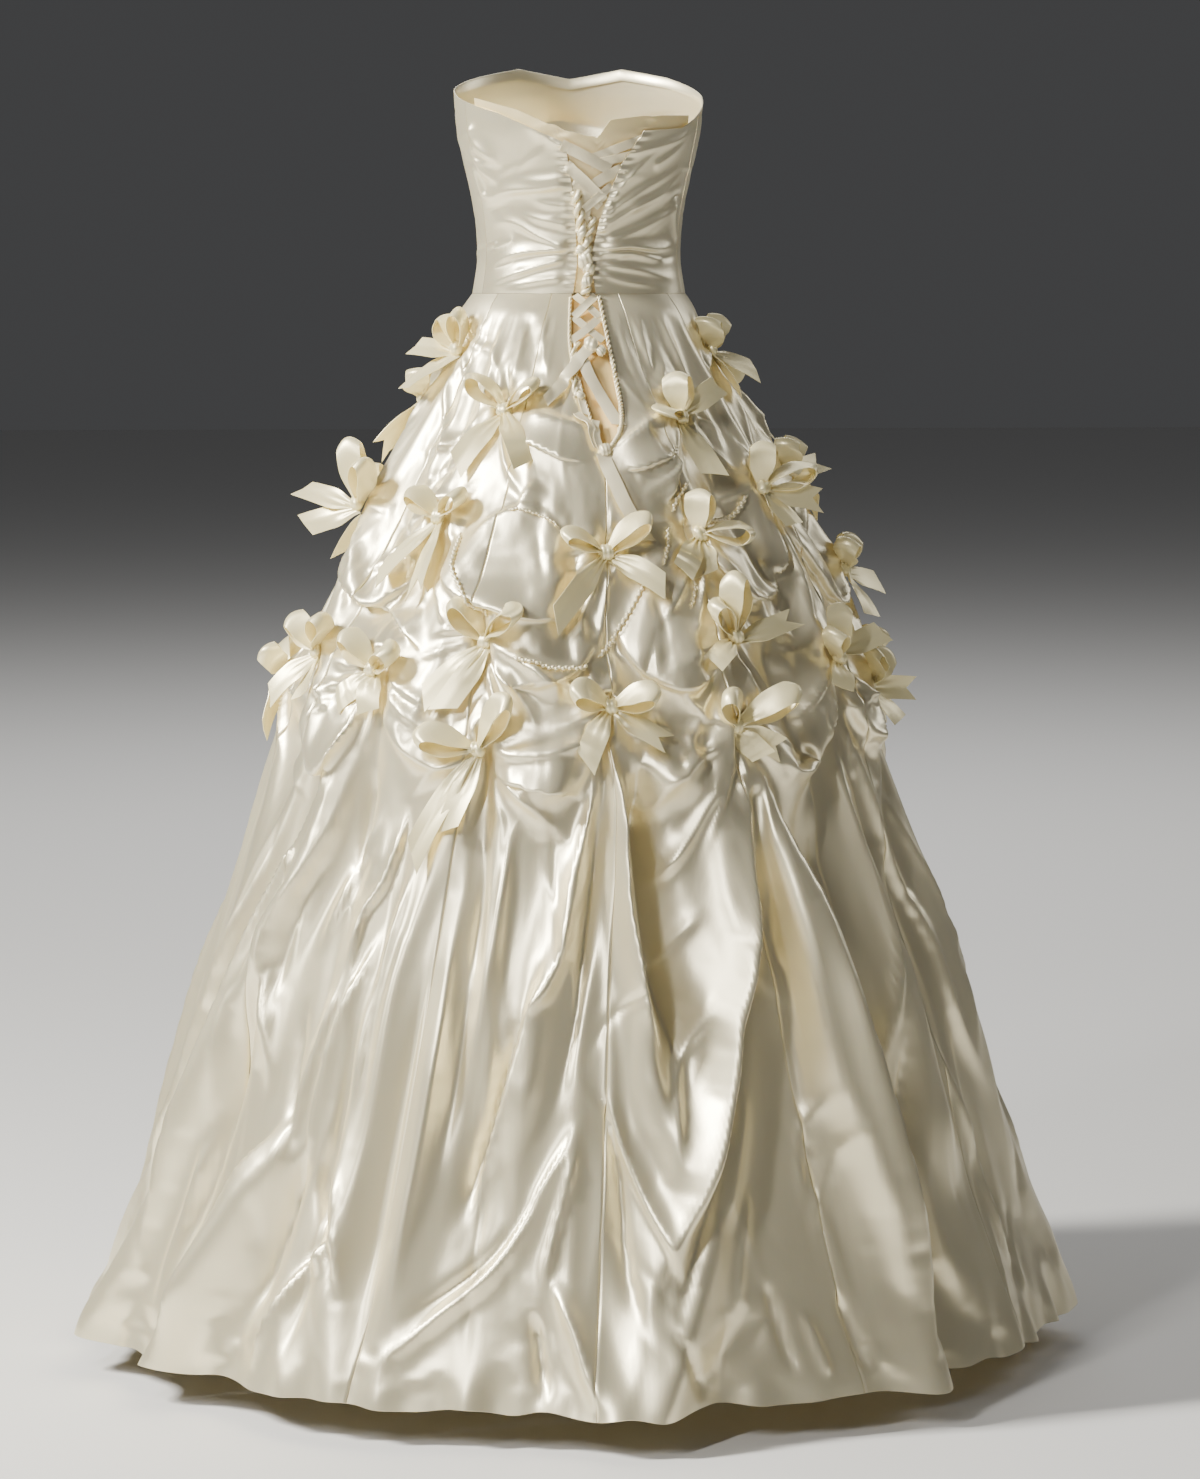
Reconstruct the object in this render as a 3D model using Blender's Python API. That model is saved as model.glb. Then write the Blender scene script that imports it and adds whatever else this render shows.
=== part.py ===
"""Strapless pick-up ball gown in its worn form: laced bodice, gored skirt caught up by ribbon bows.

The origin is the middle of the body at the waist seam, with +Z up. The laced back faces +Y and the
front faces -Y. An angle round the gown is counted from the centre back, and it is positive towards -X,
the wearer's right. Lengths are metres and angles are degrees unless a name says otherwise.
"""

from math import atan2, cos, degrees, pi, radians, sin

import bpy
import numpy as np
from mathutils import Vector
from mathutils.bvhtree import BVHTree

WALL = 0.002  # satin with its lining
RIBBON = 0.0015
SEAM_GAP = 0.0003  # between neighbouring pieces
HEM_Z = -1.075
PLACKET_END_Z = -0.16
OVERLAY = 0.0007  # from a panel to what lies under it

# Horizontal sections of the worn gown, as half breadths to the side, to the back and to the front.
BODICE_SECTIONS = (
    # z, side, back, front
    (0.000, 0.111, 0.088, 0.092),
    (0.035, 0.106, 0.085, 0.095),
    (0.065, 0.107, 0.086, 0.101),
    (0.100, 0.112, 0.091, 0.114),
    (0.140, 0.121, 0.098, 0.128),
    (0.170, 0.127, 0.103, 0.133),
    (0.210, 0.130, 0.106, 0.131),
    (0.260, 0.131, 0.108, 0.128),
)
SKIRT_SECTIONS = (
    # z, side, back, front
    (0.000, 0.111, 0.088, 0.092),
    (-0.030, 0.133, 0.112, 0.112),
    (-0.060, 0.151, 0.136, 0.130),
    (-0.100, 0.177, 0.165, 0.158),
    (-0.150, 0.210, 0.198, 0.188),
    (-0.220, 0.252, 0.238, 0.226),
    (-0.300, 0.293, 0.276, 0.262),
    (-0.380, 0.326, 0.310, 0.292),
    (-0.450, 0.334, 0.322, 0.304),
    (-0.520, 0.350, 0.336, 0.318),
    (-0.600, 0.374, 0.358, 0.340),
    (-0.700, 0.402, 0.386, 0.366),
    (-0.800, 0.424, 0.410, 0.390),
    (-0.900, 0.450, 0.436, 0.416),
    (-1.000, 0.482, 0.466, 0.446),
    (-1.080, 0.507, 0.492, 0.472),
)

# The long folds of the skirt, each a ridge, or a hollow where its height is negative.
LONG_FOLDS = (
    # z at top, z at foot, angle at top, halfway, at foot, height, half breadth at top, at foot, steep side
    (-0.39, -1.09, -46, -65, -80, 0.028, 0.022, 0.042, -1),
    (-0.47, -1.09, -70, -79, -97, 0.018, 0.022, 0.045, -1),
    (-0.47, -0.80, -49, -56, -54, 0.014, 0.022, 0.030, 1),
    (-0.80, -1.09, -47, -54, -62, 0.026, 0.015, 0.036, -1),
    (-0.84, -1.09, -45, -48, -52, -0.012, 0.015, 0.022, 0),
    (-0.78, -1.09, -38, -36, -33, 0.013, 0.018, 0.030, 0),
    (-0.66, -1.09, -26, -27, -26, 0.015, 0.020, 0.032, 0),
    (-0.66, -0.95, -11, -15, -20, -0.012, 0.014, 0.022, 0),
    (-0.50, -0.86, -5, -9, -15, 0.014, 0.016, 0.026, 1),
    (-0.92, -1.09, -6, -4, -3, 0.015, 0.016, 0.030, 0),
    (-0.42, -0.86, 3, 5, 8, 0.018, 0.016, 0.024, 1),
    (-0.44, -0.84, 7, 10, 12, -0.020, 0.018, 0.032, 0),
    (-0.43, -1.09, 26, 17, 3, 0.032, 0.028, 0.050, 1),
    (-0.64, -1.09, 27, 21, 13, -0.016, 0.024, 0.042, 0),
    (-0.43, -1.09, 27, 35, 39, 0.036, 0.022, 0.052, 1),
    (-0.47, -1.09, 40, 46, 47, -0.038, 0.022, 0.042, 0),
    (-0.40, -0.92, 52, 56, 56, 0.016, 0.022, 0.036, 0),
    (-0.42, -1.09, 62, 76, 90, 0.022, 0.024, 0.058, 0),
    (-0.80, -1.09, 66, 68, 70, -0.012, 0.020, 0.034, 0),
)
FOLD_FADE = 0.10  # over which a fold dies away into the cloth
STEEP_SIDE = 0.65  # the breadth of a fold's steep side against its other side
FRONT_FOLD_ANGLES = (108, 124, 141, 157, 172, 188, 203, 219, 236, 252)
FRONT_FOLD_HEIGHTS = (0.024, 0.016, 0.028, 0.020, 0.024, 0.018, 0.027, 0.019, 0.025, 0.016)
FRONT_FOLD_TOP_Z = -0.43
FRONT_FOLD_FOOT_Z = -1.09
FRONT_FOLD_BREADTHS = (0.024, 0.046)
FRONT_FOLD_LEAN = 5.0

# The tied bows. Each leg is (direction, length, lift): 0 points to the wearer's right along the cloth
# and 90 up it, and the lift is its angle off the cloth. The tails hang over the lower edge of the knot.
BOWS = (
    # angle, z, left loop, right loop, left tail, right tail
    (-70, -0.052, (150, 44, 20), (62, 46, 25), (-160, 52, 42), (-112, 74, 20)),
    (-32, -0.112, (154, 52, 14), (26, 54, 14), (-114, 76, 6), (-48, 92, 6)),
    (34, -0.119, (-168, 48, 14), (80, 50, 14), (-88, 74, 8), (18, 62, 18)),
    (80, -0.052, (150, 42, 20), (32, 44, 30), (-125, 62, 12), (-52, 66, 28)),
    (-76, -0.212, (112, 56, 24), (38, 56, 12), (-170, 72, 40), (-135, 70, 30)),
    (-43, -0.217, (158, 46, 14), (18, 52, 14), (-122, 84, 6), (-74, 82, 6)),
    (3, -0.252, (172, 52, 14), (27, 56, 14), (-124, 62, 8), (-34, 66, 8)),
    (25, -0.236, (98, 46, 14), (-18, 54, 14), (-132, 60, 8), (-100, 44, 10)),
    (54, -0.192, (98, 46, 20), (12, 46, 26), (-88, 46, 14), (-42, 70, 34)),
    (85, -0.176, (150, 42, 14), (20, 42, 26), (-120, 60, 10), (-30, 62, 34)),
    (80, -0.282, (140, 42, 14), (30, 40, 24), (-120, 58, 10), (-42, 54, 32)),
    (-66, -0.358, (142, 50, 32), (44, 48, 12), (-118, 66, 22), (-82, 50, 12)),
    (-46, -0.371, (160, 52, 14), (12, 56, 14), (-140, 52, 8), (-80, 46, 8)),
    (-24, -0.337, (150, 50, 14), (14, 52, 14), (-126, 84, 6), (-98, 78, 6)),
    (28, -0.336, (148, 46, 14), (84, 54, 14), (-152, 48, 10), (8, 70, 12)),
    (55, -0.365, (168, 50, 14), (80, 50, 18), (-48, 56, 26), (4, 64, 34)),
    (-22, -0.447, (178, 60, 14), (41, 66, 14), (-124, 122, 5), (-104, 84, 8)),
    (1, -0.403, (167, 48, 14), (8, 50, 14), (-116, 66, 8), (-36, 58, 8)),
    (27, -0.426, (128, 42, 16), (22, 66, 14), (-72, 40, 10), (-36, 46, 24)),
    (70, -0.398, (130, 44, 16), (44, 44, 26), (-56, 58, 28), (-18, 58, 38)),
)
FRONT_BOW_PLACES = (
    # angle, z
    (112, -0.095), (148, -0.060), (212, -0.066), (248, -0.105),
    (120, -0.225), (158, -0.205), (198, -0.235), (238, -0.215),
    (104, -0.372), (140, -0.352), (180, -0.402), (222, -0.360), (254, -0.398),
)
FRONT_BOW_LEGS = (
    ((162, 50, 14), (20, 50, 14), (-118, 76, 8), (-62, 70, 8)),
    ((148, 48, 14), (34, 52, 14), (-130, 64, 8), (-84, 82, 8)),
    ((172, 52, 14), (12, 48, 14), (-106, 84, 8), (-50, 60, 8)),
)
DIMPLE_DEPTH = 0.019  # how far a bow draws the cloth in
DIMPLE_REACH = 0.042

# Swags of cloth that hang between two caught points, each with a full lower edge.
SWAGS = (
    # angle, z of one end, angle, z of the other, sag, height
    (-32, -0.112, 3, -0.155, 0.012, 0.010),
    (3, -0.155, 33, -0.119, 0.012, 0.010),
    (-76, -0.212, -43, -0.217, 0.050, 0.014),
    (-43, -0.217, 3, -0.252, 0.060, 0.016),
    (25, -0.232, 54, -0.192, 0.060, 0.016),
    (54, -0.192, 85, -0.282, 0.030, 0.014),
    (-66, -0.358, -46, -0.371, 0.080, 0.022),
    (-46, -0.371, -22, -0.447, 0.030, 0.018),
    (-22, -0.447, 1, -0.403, 0.045, 0.020),
    (1, -0.403, 27, -0.426, 0.050, 0.020),
    (27, -0.426, 55, -0.365, 0.055, 0.020),
    (55, -0.365, 70, -0.398, 0.050, 0.016),
    (-24, -0.337, 3, -0.300, 0.030, 0.012),
    (3, -0.300, 28, -0.336, 0.030, 0.012),
    (104, -0.372, 140, -0.352, 0.060, 0.018),
    (140, -0.352, 180, -0.402, 0.050, 0.018),
    (180, -0.402, 222, -0.360, 0.050, 0.018),
    (222, -0.360, 254, -0.398, 0.050, 0.018),
    (120, -0.225, 158, -0.205, 0.050, 0.014),
    (158, -0.205, 198, -0.235, 0.050, 0.014),
    (198, -0.235, 238, -0.215, 0.050, 0.014),
)
SWAG_BELOW = 0.016  # how far a swag's fullness reaches under and over its edge
SWAG_ABOVE = 0.050
SMOOTH_WAIST = 0.05  # below the waist seam, where the cloth lies smooth

# Edges that run down the gown, as (z, angle) from top to bottom.
BACK_SEAM = ((PLACKET_END_Z, 3.0), (-0.45, 1.5), (HEM_Z, -2.5))
SKIRT_SLIT_LEFT = ((0.0, -9.0), (-0.06, -7.0), (-0.11, -1.5)) + BACK_SEAM
SKIRT_SLIT_RIGHT = ((0.0, 8.0), (-0.06, 8.5), (-0.11, 9.0), (-0.14, 7.0)) + BACK_SEAM
BODICE_SLIT_LEFT = ((0.26, -16.0), (0.152, -12.3), (0.095, -7.6), (0.032, -5.5), (0.0, -8.2))
BODICE_SLIT_RIGHT = ((0.26, 60.0), (0.165, 33.8), (0.131, 22.2), (0.075, 9.9), (0.032, 3.6), (0.0, 7.4))
# The gore seams, as angles at the waist and at the hem, round the gown from the centre back.
GORE_SEAMS = (
    (22, 30), (58, 62), (96, 98), (136, 136), (180, 180), (224, 224), (264, 262), (302, 298), (338, 329),
)
GORE_NAMES = (
    "gore_back_right", "gore_side_back_right", "gore_side_right", "gore_side_front_right", "gore_front_right",
    "gore_front_left", "gore_side_front_left", "gore_side_left", "gore_side_back_left", "gore_back_left",
)
GORE_COLUMNS = (10, 10, 8, 8, 8, 8, 8, 8, 9, 9)
SKIRT_ROWS_Z = (
    0.0, -0.03, -0.065, -0.10, -0.13, PLACKET_END_Z, -0.19, -0.22, -0.26, -0.30, -0.34, -0.38, -0.42,
    -0.46, -0.51, -0.58, -0.66, -0.75, -0.85, -0.95, -1.02, HEM_Z,
)

UNDERLAY_ROWS = 7  # the placket's underlay ends a row below the slit
UNDERLAY_DEPTH = WALL + 0.0009

SIDE_SEAM_LEFT = -72.0
SIDE_SEAM_RIGHT = 74.0
# Top edges as (angle, z), from the wearer's left to the right.
BACK_LEFT_TOP = ((SIDE_SEAM_LEFT, 0.196), (-50.0, 0.184), (-12.3, 0.152))
BACK_RIGHT_TOP = ((33.8, 0.165), (60.0, 0.169), (SIDE_SEAM_RIGHT, 0.184))
FRONT_TOP = (
    (SIDE_SEAM_RIGHT, 0.184), (95.0, 0.205), (130.0, 0.226), (155.0, 0.236), (180.0, 0.226),
    (205.0, 0.236), (230.0, 0.226), (265.0, 0.210), (360.0 + SIDE_SEAM_LEFT, 0.196),
)
MODESTY_TOP = (
    (-66.0, 0.199), (-40.0, 0.187), (-14.0, 0.166), (7.0, 0.157), (14.0, 0.176), (36.0, 0.181), (66.0, 0.182),
)
MODESTY_DEPTH = WALL + OVERLAY
BODICE_ROW_SHARES = (0.0, 0.15, 0.32, 0.5, 0.68, 0.84, 1.0)

LACE_TOP_Z = 0.148
LACE_PITCH = 0.0205  # from one crossing to the next, down the slit
LACE_CROSSINGS = 10
LACE_HALF_WIDTH = 0.006
LACE_EYELET_INSET = 0.004  # from a slit's edge to the lace's turn
LACE_THICKNESS = 0.0012
LACE_LIFT = 0.0011

KNOT_HALF_LENGTH = 0.0065
KNOT_HALF_WIDTH = 0.0060
KNOT_LEVELS = (0.0, 0.0032, 0.0064)
TAIL_DROP = 0.004  # how far a tail runs straight on from the foot of the knot before it turns
BOW_CLEARANCE = 0.0005
BOW_STEP = 0.0002
# A loop's stations out and back: share of its length, extra height, half breadth.
LOOP_STATIONS = (
    (0.34, 0.0008, 0.0090),
    (0.78, 0.0010, 0.0150),
    (1.00, 0.0070, 0.0135),
    (0.80, 0.0145, 0.0150),
    (0.36, 0.0105, 0.0095),
)
# A tail's stations: share of its length, half breadth, and how far its end is cut on the slant.
TAIL_STATIONS = ((0.25, 0.0085, 0.0), (0.62, 0.0130, 0.0), (1.00, 0.0150, 0.006))
LACE_TAIL_STATIONS = ((0.25, 0.0060, 0.0), (0.62, 0.0065, 0.0), (1.00, 0.0065, 0.004))

SATIN = (0.86, 0.80, 0.66)
RIBBON_SATIN = (0.90, 0.84, 0.64)
LACING_SATIN = (0.88, 0.82, 0.66)
UNDERLAY = (0.84, 0.74, 0.54)


def clear_scene():
    for item in list(bpy.data.objects):
        bpy.data.objects.remove(item, do_unlink=True)


def fabric(name, colour, roughness):
    material = bpy.data.materials.new(name)
    material.use_nodes = True
    shader = material.node_tree.nodes["Principled BSDF"]
    shader.inputs["Base Color"].default_value = (*colour, 1.0)
    shader.inputs["Roughness"].default_value = roughness
    shader.inputs["Metallic"].default_value = 0.0
    return material


def along(table, at):
    """The value of a (place, value) table at each place, straight between its rows."""
    rows = np.array(sorted(table))
    return np.interp(at, rows[:, 0], rows[:, 1])


def section_at(table, z):
    """The three half breadths at each height, on a smooth curve through the table's rows."""
    rows = np.array(sorted(table))
    heights, breadths = rows[:, 0], rows[:, 1:]
    slopes = np.gradient(breadths, heights, axis=0)
    z = np.clip(z, heights[0], heights[-1])
    low = np.clip(np.searchsorted(heights, z, side="right") - 1, 0, len(heights) - 2)
    span = heights[low + 1] - heights[low]
    t = ((z - heights[low]) / span)[..., None]
    span = span[..., None]
    start = (1 + 2 * t) * (1 - t) ** 2 * breadths[low] + t * (1 - t) ** 2 * span * slopes[low]
    end = t**2 * (3 - 2 * t) * breadths[low + 1] + t**2 * (t - 1) * span * slopes[low + 1]
    return start + end


def section_radius(table, angle, z):
    """Distance from the axis to a section's oval, at an angle in degrees."""
    side, back, front = np.moveaxis(section_at(table, z), -1, 0)
    turn = np.radians(angle)
    depth = np.where(np.cos(turn) > 0, back, front)
    return 1 / np.sqrt((np.sin(turn) / side) ** 2 + (np.cos(turn) / depth) ** 2)


def wrapped(angle):
    """An angle brought between -180 and 180."""
    return (angle + 180.0) % 360.0 - 180.0


def smooth_step(t):
    t = np.clip(t, 0.0, 1.0)
    return t * t * (3 - 2 * t)


def fold_height(fold, angle, z, radius):
    """How far one long fold lifts the cloth."""
    top_z, foot_z, top, middle, foot, height, top_breadth, foot_breadth, steep = fold
    t = np.clip((top_z - z) / (top_z - foot_z), 0.0, 1.0)
    centre = top * (1 - t) * (1 - 2 * t) + middle * 4 * t * (1 - t) + foot * t * (2 * t - 1)
    across = np.radians(wrapped(angle - centre)) * radius
    breadth = top_breadth + (foot_breadth - top_breadth) * t
    breadth = np.where(across * steep > 0, STEEP_SIDE * breadth, breadth)
    reach = smooth_step((top_z - z) / FOLD_FADE) * smooth_step((z - foot_z) / FOLD_FADE + (foot_z < HEM_Z))
    return height * reach * (0.6 + 0.4 * t) * np.exp(-((across / breadth) ** 2))


def swag_height(swag, angle, z):
    """How far one swag lifts the cloth above and below its edge."""
    start, start_z, end, end_z, sag, height = swag
    t = wrapped(angle - start) / (end - start)
    inside = np.clip(t, 0.0, 1.0)
    edge_z = start_z + (end_z - start_z) * inside - 4 * sag * inside * (1 - inside)
    above = z - edge_z
    breadth = np.where(above > 0, SWAG_ABOVE, SWAG_BELOW)
    ends = np.where((t > 0) & (t < 1), np.sin(pi * inside), 0.0)
    return height * ends * np.exp(-((above / breadth) ** 2))


def all_bow_places():
    return [bow[:2] for bow in BOWS] + list(FRONT_BOW_PLACES)


def front_folds():
    """The long folds of the front, each a little different from its neighbours."""
    for index, (angle, height) in enumerate(zip(FRONT_FOLD_ANGLES, FRONT_FOLD_HEIGHTS)):
        lean = FRONT_FOLD_LEAN * sin(2.3 * index)
        angles = (angle - lean, angle, angle + lean)
        yield (FRONT_FOLD_TOP_Z, FRONT_FOLD_FOOT_Z, *angles, height, *FRONT_FOLD_BREADTHS, 0)


def skirt_relief(angle, z, radius):
    """How far the cloth stands off the plain cone of the skirt."""
    relief = np.zeros(np.shape(angle * z))
    for fold in (*LONG_FOLDS, *front_folds()):
        relief = relief + fold_height(fold, angle, z, radius)
    for swag in SWAGS:
        relief = relief + swag_height(swag, angle, z)
    for bow_angle, bow_z in all_bow_places():
        across = np.radians(wrapped(angle - bow_angle)) * radius
        spread = (across**2 + (z - bow_z) ** 2) / DIMPLE_REACH**2
        relief = relief - DIMPLE_DEPTH * np.exp(-spread)
    return relief * smooth_step(-z / SMOOTH_WAIST)


def ring_point(radius, angle, z):
    turn = np.radians(angle)
    return np.stack([-radius * np.sin(turn), radius * np.cos(turn), z + 0 * turn], axis=-1)


def skirt_cone(angle, z):
    return ring_point(section_radius(SKIRT_SECTIONS, angle, z), angle, z)


def skirt_point(angle, z):
    radius = section_radius(SKIRT_SECTIONS, angle, z)
    return ring_point(radius + skirt_relief(angle, z, radius), angle, z)


def bodice_point(angle, z):
    return ring_point(section_radius(BODICE_SECTIONS, angle, z), angle, z)


def normal_at(surface, angle, z, angle_step=1.0, z_step=0.008):
    """The outward normal of a surface given by angle and height."""
    across = surface(angle + angle_step, z) - surface(angle - angle_step, z)
    upward = surface(angle, z + z_step) - surface(angle, z - z_step)
    normal = np.cross(across, upward)
    return normal / np.linalg.norm(normal, axis=-1, keepdims=True)


def grid_faces(points, rows, columns):
    """Triangles over a grid of points, each quad split along its shorter diagonal, facing outwards."""
    faces = []
    for row in range(rows - 1):
        for column in range(columns - 1):
            first = row * columns + column
            below = first + columns
            falling = np.linalg.norm(points[first] - points[below + 1])
            rising = np.linalg.norm(points[first + 1] - points[below])
            if falling <= rising:
                faces.append((first, below, below + 1))
                faces.append((first, below + 1, first + 1))
            else:
                faces.append((first, below, first + 1))
                faces.append((first + 1, below, below + 1))
    return faces


def wall_solid(name, outer, inner, faces, material):
    """A closed wall between an outer and an inner sheet of the same faces."""
    count = len(outer)
    edges = {(face[i], face[(i + 1) % len(face)]) for face in faces for i in range(len(face))}
    solid = [tuple(face) for face in faces]
    solid += [tuple(count + corner for corner in reversed(face)) for face in faces]
    for start, end in sorted(edges):
        if (end, start) in edges:
            continue
        # Two neighbours split the strip between them alike, from the upper outer to the lower inner corner.
        if outer[start][2] > outer[end][2]:
            solid.append((end, start, count + end))
            solid.append((start, count + start, count + end))
        else:
            solid.append((end, start, count + start))
            solid.append((end, count + start, count + end))
    return mesh_object(name, np.concatenate([outer, inner]), solid, material)


def mesh_object(name, points, faces, material):
    mesh = bpy.data.meshes.new(name)
    mesh.from_pydata([tuple(point) for point in points], [], faces)
    mesh.update()
    mesh.materials.append(material)
    mesh.shade_smooth()
    mesh.set_sharp_from_angle(angle=radians(50))
    item = bpy.data.objects.new(name, mesh)
    bpy.context.scene.collection.objects.link(item)
    return item


def panel(name, surface, left_edge, right_edge, rows_z, columns, material, depth=0.0):
    """A cloth panel between two edges, where rows_z gives a height to each place across it."""
    share = np.linspace(0.0, 1.0, columns + 1)
    angles = []
    heights = []
    for row in rows_z:
        z = np.broadcast_to(row, share.shape).astype(float)
        left = left_edge(z) + np.degrees(SEAM_GAP / 2 / section_radius(SKIRT_SECTIONS, left_edge(z), z))
        right = right_edge(z) - np.degrees(SEAM_GAP / 2 / section_radius(SKIRT_SECTIONS, right_edge(z), z))
        angles.append(left + (right - left) * share)
        heights.append(z)
    angle = np.array(angles)
    z = np.array(heights)
    normal = normal_at(surface, angle, z)
    skin = surface(angle, z)
    outer = (skin - depth * normal).reshape(-1, 3)
    inner = (skin - (depth + WALL) * normal).reshape(-1, 3)
    faces = grid_faces(outer, len(rows_z), columns + 1)
    return wall_solid(name, outer, inner, faces, material)


def leaning_seam(index):
    waist, hem = GORE_SEAMS[index]
    return lambda z: waist + (hem - waist) * np.clip(z / HEM_Z, 0, 1)


def make_skirt(satin):
    rows = np.array(SKIRT_ROWS_Z)
    rows[0] = -SEAM_GAP / 2
    gores = []
    for index, name in enumerate(GORE_NAMES):
        left = leaning_seam(index - 1) if index else lambda z: along(SKIRT_SLIT_RIGHT, z)
        last = index == len(GORE_NAMES) - 1
        right = (lambda z: 360 + along(SKIRT_SLIT_LEFT, z)) if last else leaning_seam(index)
        gores.append(panel(name, skirt_point, left, right, rows, GORE_COLUMNS[index], satin))
    return gores


def make_bodice(satin, lining):
    def left_slit(z):
        return along(BODICE_SLIT_LEFT, z)

    def right_slit(z):
        return along(BODICE_SLIT_RIGHT, z)

    def rows_to(top_table, left_angle, right_angle, columns, foot_z=SEAM_GAP / 2):
        across = np.linspace(left_angle, right_angle, columns + 1)
        top = along(top_table, across)
        return [foot_z + (top - foot_z) * share for share in reversed(BODICE_ROW_SHARES)]

    def fixed(angle):
        return lambda z: np.full(np.shape(z), float(angle))

    panel(
        "bodice_back_left", bodice_point, fixed(SIDE_SEAM_LEFT), left_slit,
        rows_to(BACK_LEFT_TOP, SIDE_SEAM_LEFT, -12.3, 8), 8, satin,
    )
    panel(
        "bodice_back_right", bodice_point, right_slit, fixed(SIDE_SEAM_RIGHT),
        rows_to(BACK_RIGHT_TOP, 33.8, SIDE_SEAM_RIGHT, 8), 8, satin,
    )
    panel(
        "bodice_front", bodice_point, fixed(SIDE_SEAM_RIGHT), fixed(360 + SIDE_SEAM_LEFT),
        rows_to(FRONT_TOP, SIDE_SEAM_RIGHT, 360 + SIDE_SEAM_LEFT, 24), 24, satin,
    )
    panel(
        "modesty_panel", bodice_point, fixed(-66), fixed(66),
        rows_to(MODESTY_TOP, -66, 66, 16, foot_z=0.001), 16, lining, depth=MODESTY_DEPTH,
    )
    underlay_rows = (-0.001, *SKIRT_ROWS_Z[1:UNDERLAY_ROWS])
    panel(
        "placket_underlay", skirt_point, fixed(-16), fixed(17), underlay_rows, 14, lining,
        depth=UNDERLAY_DEPTH,
    )


def make_lacing(satin):
    """The criss-cross lace, as one net of crossings and arms that bend at the slit's edges."""
    top_z = LACE_TOP_Z
    turns = [top_z - LACE_PITCH * i for i in range(LACE_CROSSINGS + 1)]

    def edge_angle(z, bodice_table, skirt_table):
        return along(bodice_table, z) if z > 0 else along(skirt_table, z)

    points = []
    faces = []

    def add(across, z):
        points.append((across, z))
        return len(points) - 1

    def half_span(z):
        left = edge_angle(z, BODICE_SLIT_LEFT, SKIRT_SLIT_LEFT)
        right = edge_angle(z, BODICE_SLIT_RIGHT, SKIRT_SLIT_RIGHT)
        radius = float(section_radius(BODICE_SECTIONS, np.array(0.0), np.array(max(z, 0.0))))
        middle = (left + right) / 2
        return middle, radians(right - left) / 2 * radius + LACE_EYELET_INSET, radius

    ends = []
    for z in turns:
        middle, half, radius = half_span(z)
        width = min(LACE_HALF_WIDTH, 0.42 * half)
        tilt = degrees(1 / radius)
        left = (add(middle - tilt * half, z), add(middle - tilt * (half - 1.6 * width), z))
        right = (add(middle + tilt * half, z), add(middle + tilt * (half - 1.6 * width), z))
        ends.append((left, right))
    for index in range(LACE_CROSSINGS):
        z = (turns[index] + turns[index + 1]) / 2
        middle, half, radius = half_span(z)
        width = min(LACE_HALF_WIDTH, 0.42 * half)
        slope = atan2(LACE_PITCH / 2, half)
        tilt = degrees(1 / radius)
        aside = min(width / sin(slope), 0.62 * half)
        above = min(width / cos(slope), 0.40 * LACE_PITCH)
        top = add(middle, z + above)
        foot = add(middle, z - above)
        left = add(middle - tilt * aside, z)
        right = add(middle + tilt * aside, z)
        (upper_left, upper_right), (lower_left, lower_right) = ends[index], ends[index + 1]
        faces.append((top, left, foot, right))
        faces.append((upper_left[1], upper_left[0], left, top))
        faces.append((upper_right[0], upper_right[1], top, right))
        faces.append((left, lower_left[0], lower_left[1], foot))
        faces.append((right, foot, lower_right[1], lower_right[0]))
    place = np.array(points)
    angle, z = place[:, 0], place[:, 1]
    surface = back_surface
    normal = normal_at(surface, angle, z)
    skin = surface(angle, z)
    triangles = [t for a, b, c, d in faces for t in ((a, b, c), (a, c, d))]
    outer = skin + (LACE_LIFT + LACE_THICKNESS) * normal
    inner = skin + LACE_LIFT * normal
    return wall_solid("corset_lace", outer, inner, triangles, satin)


def back_surface(angle, z):
    """The bodice above the waist seam and the skirt below it."""
    upper = section_radius(BODICE_SECTIONS, angle, np.maximum(z, 0))
    lower = section_radius(SKIRT_SECTIONS, angle, np.minimum(z, 0))
    lower = lower + skirt_relief(angle, np.minimum(z, 0), lower)
    return ring_point(np.where(z > 0, upper, lower), angle, z)


def cloth_tree(items):
    """A search tree over the walls of several pieces."""
    points = []
    faces = []
    for item in items:
        start = len(points)
        points += [vertex.co.copy() for vertex in item.data.vertices]
        faces += [tuple(start + corner for corner in polygon.vertices) for polygon in item.data.polygons]
    return BVHTree.FromPolygons(points, faces)


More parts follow.
